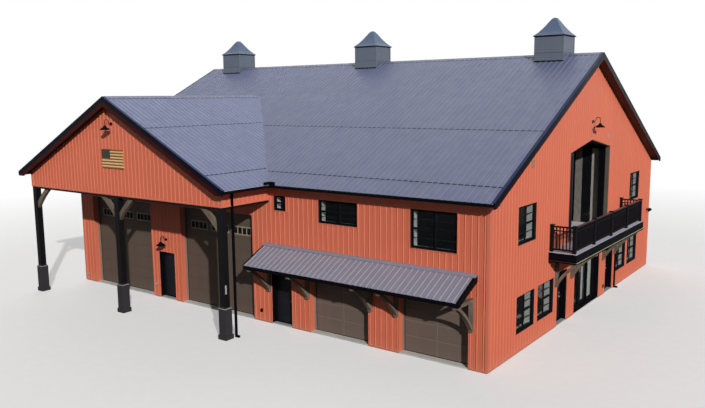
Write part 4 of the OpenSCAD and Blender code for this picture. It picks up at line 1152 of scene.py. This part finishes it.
cupola = {
    "half": 0.6, "top": 0.715, "corner": 0.05, "out": 0.014, "board": 0.105, "boardFoot": 0.06,
    "lap": (0.012, 0.003), "belt": (0.06, 0.09), "beltEnd": 0.016, "beltOut": 0.02, "fascia": 0.034,
    "fasciaOut": 0.058, "fasciaThick": 0.004, "cornerFoot": 0.02, "boardStop": 0.03,
    "flashingEnd": 0.02,
    "eave": 0.655, "hip": 0.014, "hipIn": 0.010,
    # the flashing's section: distance out from the body, then the distance at which the roof's
    # height is taken, and the height over it
    "flashing": ((0, 0, 0.045), (0.018, 0, 0.045), (0.05, 0.05, 0.028), (0.05, 0.05, 0.020),
                 (0, 0, 0.02)),
    # the roof's half width as a share of the eaves, and its height above them in metres
    "roof": ((1.0, 0.026), (0.90, 0.080), (0.79, 0.148), (0.68, 0.228), (0.56, 0.325),
             (0.44, 0.432), (0.34, 0.532), (0.24, 0.630), (0.15, 0.704), (0.09, 0.742),
             (0.05, 0.757)),
}


def makeCupolas():
    boards, corners, flashing, fascia, belts = (newShape() for _ in range(5))
    half, wide, out, board = (cupola[key] for key in ("half", "corner", "out", "board"))
    top, foot, reach = ridgeHeight + cupola["top"], ridgeHeight - pitch * half, half - wide
    edge, beltOut, beltReach = (half + cupola[key] for key in ("fasciaOut", "beltOut", "beltEnd"))
    lift, flashingEnd = cupola["cornerFoot"], cupola["flashingEnd"]
    inside = edge - cupola["fasciaThick"]
    plan = ((0, 0), (out, out), (out, -wide), (0, -wide))
    for x in barn["cupolas"]:
        for a, b in quarters:
            for order in (1, -1):  # a board on each side of the corner
                ring = [(x + a * (half + p), b * (half + q), foot + lift)
                        for p, q in (pair[::order] for pair in plan)]
                addPrism(corners, ring, (0, 0, top - foot - lift))
        z = foot + cupola["boardFoot"]
        while z < top - cupola["boardStop"]:
            high = min(z + board, top)
            lap = ((0, z), (cupola["lap"][0], z), (cupola["lap"][1], high), (0, high))
            for side in (-1, 1):
                addPrism(boards, [(x - reach, side * (half + p), h) for p, h in lap],
                         (2 * reach, 0, 0))
                if z > ridgeHeight:
                    addPrism(boards, [(x + side * (half + p), -reach, h) for p, h in lap],
                             (0, 2 * reach, 0))
            z += board
        low, high = (ridgeHeight + height for height in cupola["belt"])
        for side in (-1, 1):
            ring = [(x - half - flashingEnd, side * (half + p), mainTop(half + q) + up)
                    for p, q, up in cupola["flashing"]]
            addPrism(flashing, ring, (2 * (half + flashingEnd), 0, 0))
            addBox(belts, (x - beltReach, side * beltOut, low), (x + beltReach, side * half, high))
            head = top + cupola["fascia"]
            addBox(fascia, (x - edge, side * edge, top), (x + edge, side * inside, head))
            addBox(fascia, (x + side * edge, -edge, top), (x + side * inside, edge, head))
    makePiece(boards, "cupolaLapBoards", "cupolaTrim", "cupola_boards", bevel=0.002)
    makePiece(corners, "cupolaCorners", "cupolaTrim", "cupola_boards")
    makePiece(flashing, "cupolaFlashing", "black", "cupola_metal")
    makePiece(fascia, "cupolaEaves", "black", "cupola_metal")
    makePiece(belts, "cupolaBelts", "cupolaBoards", "cupola_boards", bevel=0.003)


def makeCupolaRoofs():
    roofs, hips = newShape(), newShape()
    rings = ((1.0, 0.001),) + cupola["roof"]
    for x in barn["cupolas"]:
        def at(a, b, share, high, inwards=0.0):
            reach = share * cupola["eave"] - inwards
            return Vector((x + a * reach, b * reach, ridgeHeight + cupola["top"] + high))
        points = [at(*quarter, *ring) for ring in rings for quarter in quarters]
        addFaces(roofs, points, ringFaces(len(rings), 4))
        for quarter in quarters:
            path = [at(*quarter, *ring, cupola["hipIn"]) for ring in rings[1:-1]]
            addTube(hips, path, roundRing(cupola["hip"], 8))
    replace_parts(makePiece(roofs, "cupolaRoofSheets", "cupolaRoof", "cupola_metal", bevel=0.003),
                "cupola_roofs")
    makePiece(hips, "cupolaHipCaps", "cupolaHip", "cupola_metal")


makeCupolas()
makeCupolaRoofs()
print("balcony and cupolas made")


# Small fittings

plaque = {"width": 1.37, "height": 0.76, "foot": 5.93, "rows": 13, "cornerShare": 0.40,
          "cornerRow": 7, "gap": 0.003, "back": 0.025, "slatOut": 0.044, "cornerOut": 0.052}


def makePlaque():
    foot, gap, back, row = (plaque[key] for key in ("foot", "gap", "back", "cornerRow"))
    unit = plaque["height"] / plaque["rows"]
    left, right = porchMid - plaque["width"] / 2, porchMid + plaque["width"] / 2
    cornerEdge = left + plaque["width"] * plaque["cornerShare"]
    slats = ((left if i < row else cornerEdge, right, plaque["slatOut"], back,
              foot + i * unit + gap, foot + (i + 1) * unit - gap)
             for i in range(1, plaque["rows"], 2))
    makePiece(wallBoxes("porch", *slats), "plaqueSlats", "slat", "plaque_wood", bevel=0.003)
    corner = (left, cornerEdge, plaque["cornerOut"], back, foot + row * unit,
              foot + plaque["height"])
    makePiece(wallBoxes("porch", corner), "plaqueCornerBoard", "plaqueCorner", "plaque_wood",
              bevel=0.003)


fittings = {
    "taps": (("right", 7.403, 0.624), ("front", -10.45, 0.30), ("front", -5.284, 0.603)),
    # parts of a tap: radius, sides, then points as distance from the wall and height
    "tap": ((0.035, 12, (0, 0), (0.03, 0)),
            (0.017, 10, (0.02, 0), (0.09, 0), (0.12, -0.02), (0.13, -0.07)),
            (0.008, 8, (0.07, 0), (0.07, 0.06)), (0.034, 12, (0.07, 0.06), (0.07, 0.075))),
    "outlets": (("right", 2.097, 0.396), ("front", 1.02, 0.445)),
    # half width, start and end from the wall, foot and head
    "outlet": ((0.042, 0, 0.055, -0.065, 0.065), (0.036, 0.055, 0.066, -0.05, 0.058)),
    "vent": (-5.955, 0.065, 6.27, 6.51, 0.014, 0.0, 0.045),
    "ventSlats": (5, -6.01, 0.11, 6.295, 0.042),  # count, start, length, foot and step
    "ventSlat": ((0.038, 0), (0.008, 0.034), (0.004, 0.030), (0.034, -0.004)),
    "covers": ((1.993, 2.043, 0, 0.05, 6.87, 7.0), (-2.345, -2.30, 0, 0.03, 0.87, 0.96)),
    "postCover": ((0, -11.55, 1.70), (0.03, -11.49, 2.02)),
    "floodLamp": (8.773, 2.95), "floodHead": (0.13, 0.12, -0.02), "floodAim": (0.75, 0.35, -0.5),
    "floodBase": 0.03, "floodRadius": 0.06, "floodArm": 0.012, "floodDepth": (0.04, 0.09),
    # straps of the downspouts: x of the face, start and end along y, heights
    "straps": ((porchRight, -0.002, -11.139, -11.054, (1.1, 2.9, 4.6)),
               (halfLength, 0, 3.635, 3.720, (0.8, 2.0))),
    "strap": (0.078, 0.03),
}


def makeFittings():
    taps, outlets = newShape(), newShape()
    for wall, u, z in fittings["taps"]:
        for radius, sides, *points in fittings["tap"]:
            addTube(taps, [onWall(wall, u, out, z + up) for out, up in points],
                    roundRing(radius, sides))
    makePiece(taps, "gardenTaps", "zinc")
    for wall, u, z in fittings["outlets"]:
        for half, near, far, low, high in fittings["outlet"]:
            wallBox(outlets, wall, u - half, u + half, near, far, z + low, z + high)
    makePiece(outlets, "outletCovers", "black", bevel=0.004)
    vent = wallRing(None, "right", *fittings["vent"])
    count, start, length, foot, step = fittings["ventSlats"]
    for i in range(count):
        ring = [(start, out, foot + i * step + up) for out, up in fittings["ventSlat"]]
        wallPrism(vent, "right", ring, (0, length, 0))
    makePiece(vent, "gableVent", "tan")
    covers = wallBoxes("right", *fittings["covers"])
    addBox(covers, *((porchRight + x, y, z) for x, y, z in fittings["postCover"]))
    makePiece(covers, "paleCovers", "zinc", bevel=0.004)

    lamps = newShape()
    u, z = fittings["floodLamp"]
    base, stem = onWall("right", u, 0, z), onWall("right", u, fittings["floodBase"], z)
    wide, (behind, before) = roundRing(fittings["floodRadius"], 20), fittings["floodDepth"]
    addTube(lamps, [base, stem], wide)
    for side in (-1, 1):
        mirror = Vector((1, side, 1))
        head = base + Vector(fittings["floodHead"]) * mirror
        ahead = (Vector(fittings["floodAim"]) * mirror).normalized()
        addTube(lamps, [stem, head], roundRing(fittings["floodArm"], 8))
        addTube(lamps, [head - ahead * behind, head + ahead * before], wide)
    makePiece(lamps, "twinFloodLamp", "black", bevel=0.002)
    straps, (out, high) = newShape(), fittings["strap"]
    for x, start, near, far, heights in fittings["straps"]:
        for z in heights:
            addBox(straps, (x + start, near, z), (x + out, far, z + high))
    makePiece(straps, "downspoutStraps", "black")


eaveLine = {"drop": 0.008, "high": 0.012, "near": 0.050, "far": 0.071, "front": 0.32,
            "corner": 0.08, "gable": (0.29, 0.325), "inner": 0.02}


def makeEaveLines():  # the folded drip edge over the gutters, painted pale zinc as a painted highlight of its sunlit top
    line, near, far = newShape(), eaveLine["near"], eaveLine["far"]
    foot = mainTop(halfWidth + eaveRun) - eaveLine["drop"]
    head = foot + eaveLine["high"]
    x, y = porchRight + eaveRun, -halfWidth - eaveRun
    start, stop = (halfLength + reach for reach in eaveLine["gable"])
    addBox(line, (x + near, porchFront - eaveLine["front"], foot),
           (x + far, y - eaveLine["corner"], head))
    addBox(line, (start, y - far, foot), (stop, y - eaveLine["inner"], head))
    makePiece(line, "gutterLines", "zinc", bevel=0.002)


guardRim = {"inset": 0.125, "outer": 0.172, "inner": 0.166, "foot": 1.145, "head": 1.165}


def makeGuardRimHighlights():  # a pale zinc rim where a post goes into its guard, a painted highlight of the guard's top edge
    inset, far, near, low, high = guardRim.values()
    rims, y = newShape(), porchFront + inset
    for x in (porchLeft + inset, porchMid, porchRight - inset):
        for side in (-1, 1):
            addBox(rims, (x + side * far, y - far, low), (x + side * near, y + far, high))
            addBox(rims, (x - far, y + side * far, low), (x + far, y + side * near, high))
    makePiece(rims, "guardRimHighlights", "zinc")


barnLamps = {
    "places": ((porchMid, porchFront - 0.31, 7.48), (porchMid, -halfWidth - 0.31, 2.43),
               (halfLength + 0.31, 0.0, 7.38)),
    "inside": ((0.186, 0.004), (0.124, 0.059), (0.050, 0.094)),
    "bulb": ((0.001, 0.03), (0.022, 0.036), (0.030, 0.055), (0.024, 0.08), (0.014, 0.10)),
}


def makeLampInsides():  # the pale inside of each shade, and its bulb
    for name, profile, sides in (("lampShadeLinings", "inside", 32), ("lampBulbs", "bulb", 16)):
        shape = newShape()
        for at in barnLamps["places"]:
            addSpin(shape, at, barnLamps[profile], sides)
        makePiece(shape, name, "white", smooth=True)


makePlaque()
makeFittings()
makeEaveLines()
makeGuardRimHighlights()
makeLampInsides()
print("fittings made")


# Solids that stay get their finish here

nodeFinishes = {
    "wallBody": ("front_wall_piers", "front_wall_door_heads", "front_wall_porch_band",
                 "front_wall_upper", "right_wall_lower", "right_wall_sides", "right_wall_band",
                 "right_wall_head", "back_wall", "left_wall", "porch_gable", "porch_side_walls"),
    "roofBody": ("main_roof_front", "main_roof_back", "porch_roof_left", "porch_roof_right"),
    "ridge": ("main_ridge_cap", "porch_ridge_cap"),
    "verge": ("rake_boards",),
    "black": ("gutters", "downspouts", "awning_roof", "door_jambs", "door_heads_and_sills",
              "window_frames", "loft_door_frame", "glass_door_fixed_panels", "glass_door_slider",
              "barn_lamps", "balcony_deck"),
    "rail": ("balcony_posts", "balcony_rails"),
    "blackTimber": ("porch_posts",),
    "guard": ("porch_post_guards",),
    "weathered": ("porch_knee_braces", "awning_brackets", "balcony_brackets"),
    "leaf": ("loft_leaves",),
    "cupolaBoards": ("cupola_bodies",),
    "brown": ("tall_overhead_doors",),
    "lowBrown": ("low_overhead_doors",),
    "doorPaint": ("porch_door", "front_door", "gable_door_near", "gable_door_far"),
    "concrete": ("floor_slab",),
    "floorBoards": ("loft_floor",),
    "ceiling": ("porch_ceiling",),
    "plaque": ("wall_plaque",),
    "glass": ("glass_door_fixed_panes", "glass_door_slider_pane", "window_panes"),
    "paintedShadeGlass": ("tall_door_glass", "loft_leaf_panes"),
}
for finish, names in nodeFinishes.items():
    for name in names:
        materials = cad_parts[name].data.materials
        materials.clear()
        materials.append(finishes[finish])
print("solids painted")


# Floor, backdrop and light

stage = {"radius": 170, "below": 0.004, "clear": 20, "fade": 44, "near": 0.35,
         "tone": rgb(238, 237, 235), "bounce": rgb(76, 74, 72)}


def makeStage():  # a pale floor that turns into the white backdrop with distance
    mat = startMaterial("paleFloor", 0.9, 0.1)
    away = addNode("VectorMath", {0: place()}, operation="LENGTH").outputs["Value"]
    far = rerange(away, stage["clear"], stage["fade"], stage["near"], 1.0)
    ray = addNode("LightPath").outputs["Is Camera Ray"]
    seen = toned(noise(3.0, 5), stage["tone"], 0.98, 1.02)
    finishMaterial(mat, blend(ray, stage["bounce"], seen))
    paper = tree.nodes["Principled BSDF"].outputs[0]
    white = addNode("Emission", {"Color": (1, 1, 1, 1), "Strength": 1.0}).outputs[0]
    surface = addNode("MixShader", {0: calc("MULTIPLY", far, ray), 1: paper, 2: white}).outputs[0]
    tree.links.new(surface, tree.nodes["Material Output"].inputs["Surface"])
    mesh = bpy.data.meshes.new("floor")
    corners = [(a * stage["radius"], b * stage["radius"], -stage["below"]) for a, b in quarters]
    mesh.from_pydata(corners, [], [(0, 1, 2, 3)])
    mesh.materials.append(mat)
    floor = addObject("floor", mesh)


light = {
    "sun": 3.25, "sunSize": 0.02, "towardsSun": (0.726, -0.555, 0.408), "sky": 0.18,
    "fill": 0.8, "fillSize": 1.0, "towardsFill": (-0.55, 0.60, 0.58),
    "skyTint": (0.93, 0.96, 1.0, 1),
}


def makeLight():
    for name in ("sun", "fill"):  # the key light, and a weak broad one for the sides away from it
        data = bpy.data.lights.new(name + "Lamp", "SUN")
        data.energy = light[name]
        data.angle = light[name + "Size"]
        towards = Vector(light["towards" + name.capitalize()])
        addObject(name + "Lamp", data).rotation_euler = towards.to_track_quat("Z", "Y").to_euler()
    world = bpy.data.worlds.new("studio")
    bpy.context.scene.world = world
    openTree(world).clear()
    ray = addNode("LightPath").outputs
    seen = calc("MAXIMUM", ray["Is Camera Ray"], ray["Is Transmission Ray"])
    seen = calc("MAXIMUM", seen, ray["Is Glossy Ray"])
    sky = addNode("Background", {"Color": light["skyTint"], "Strength": light["sky"]}).outputs[0]
    white = addNode("Background", {"Color": (1, 1, 1, 1), "Strength": 1.0}).outputs[0]
    both = addNode("MixShader", {0: seen, 1: sky, 2: white}).outputs[0]
    addNode("OutputWorld", {"Surface": both})
    bpy.context.scene.view_settings.view_transform = "Standard"


makeStage()
makeLight()
print("floor and light placed")
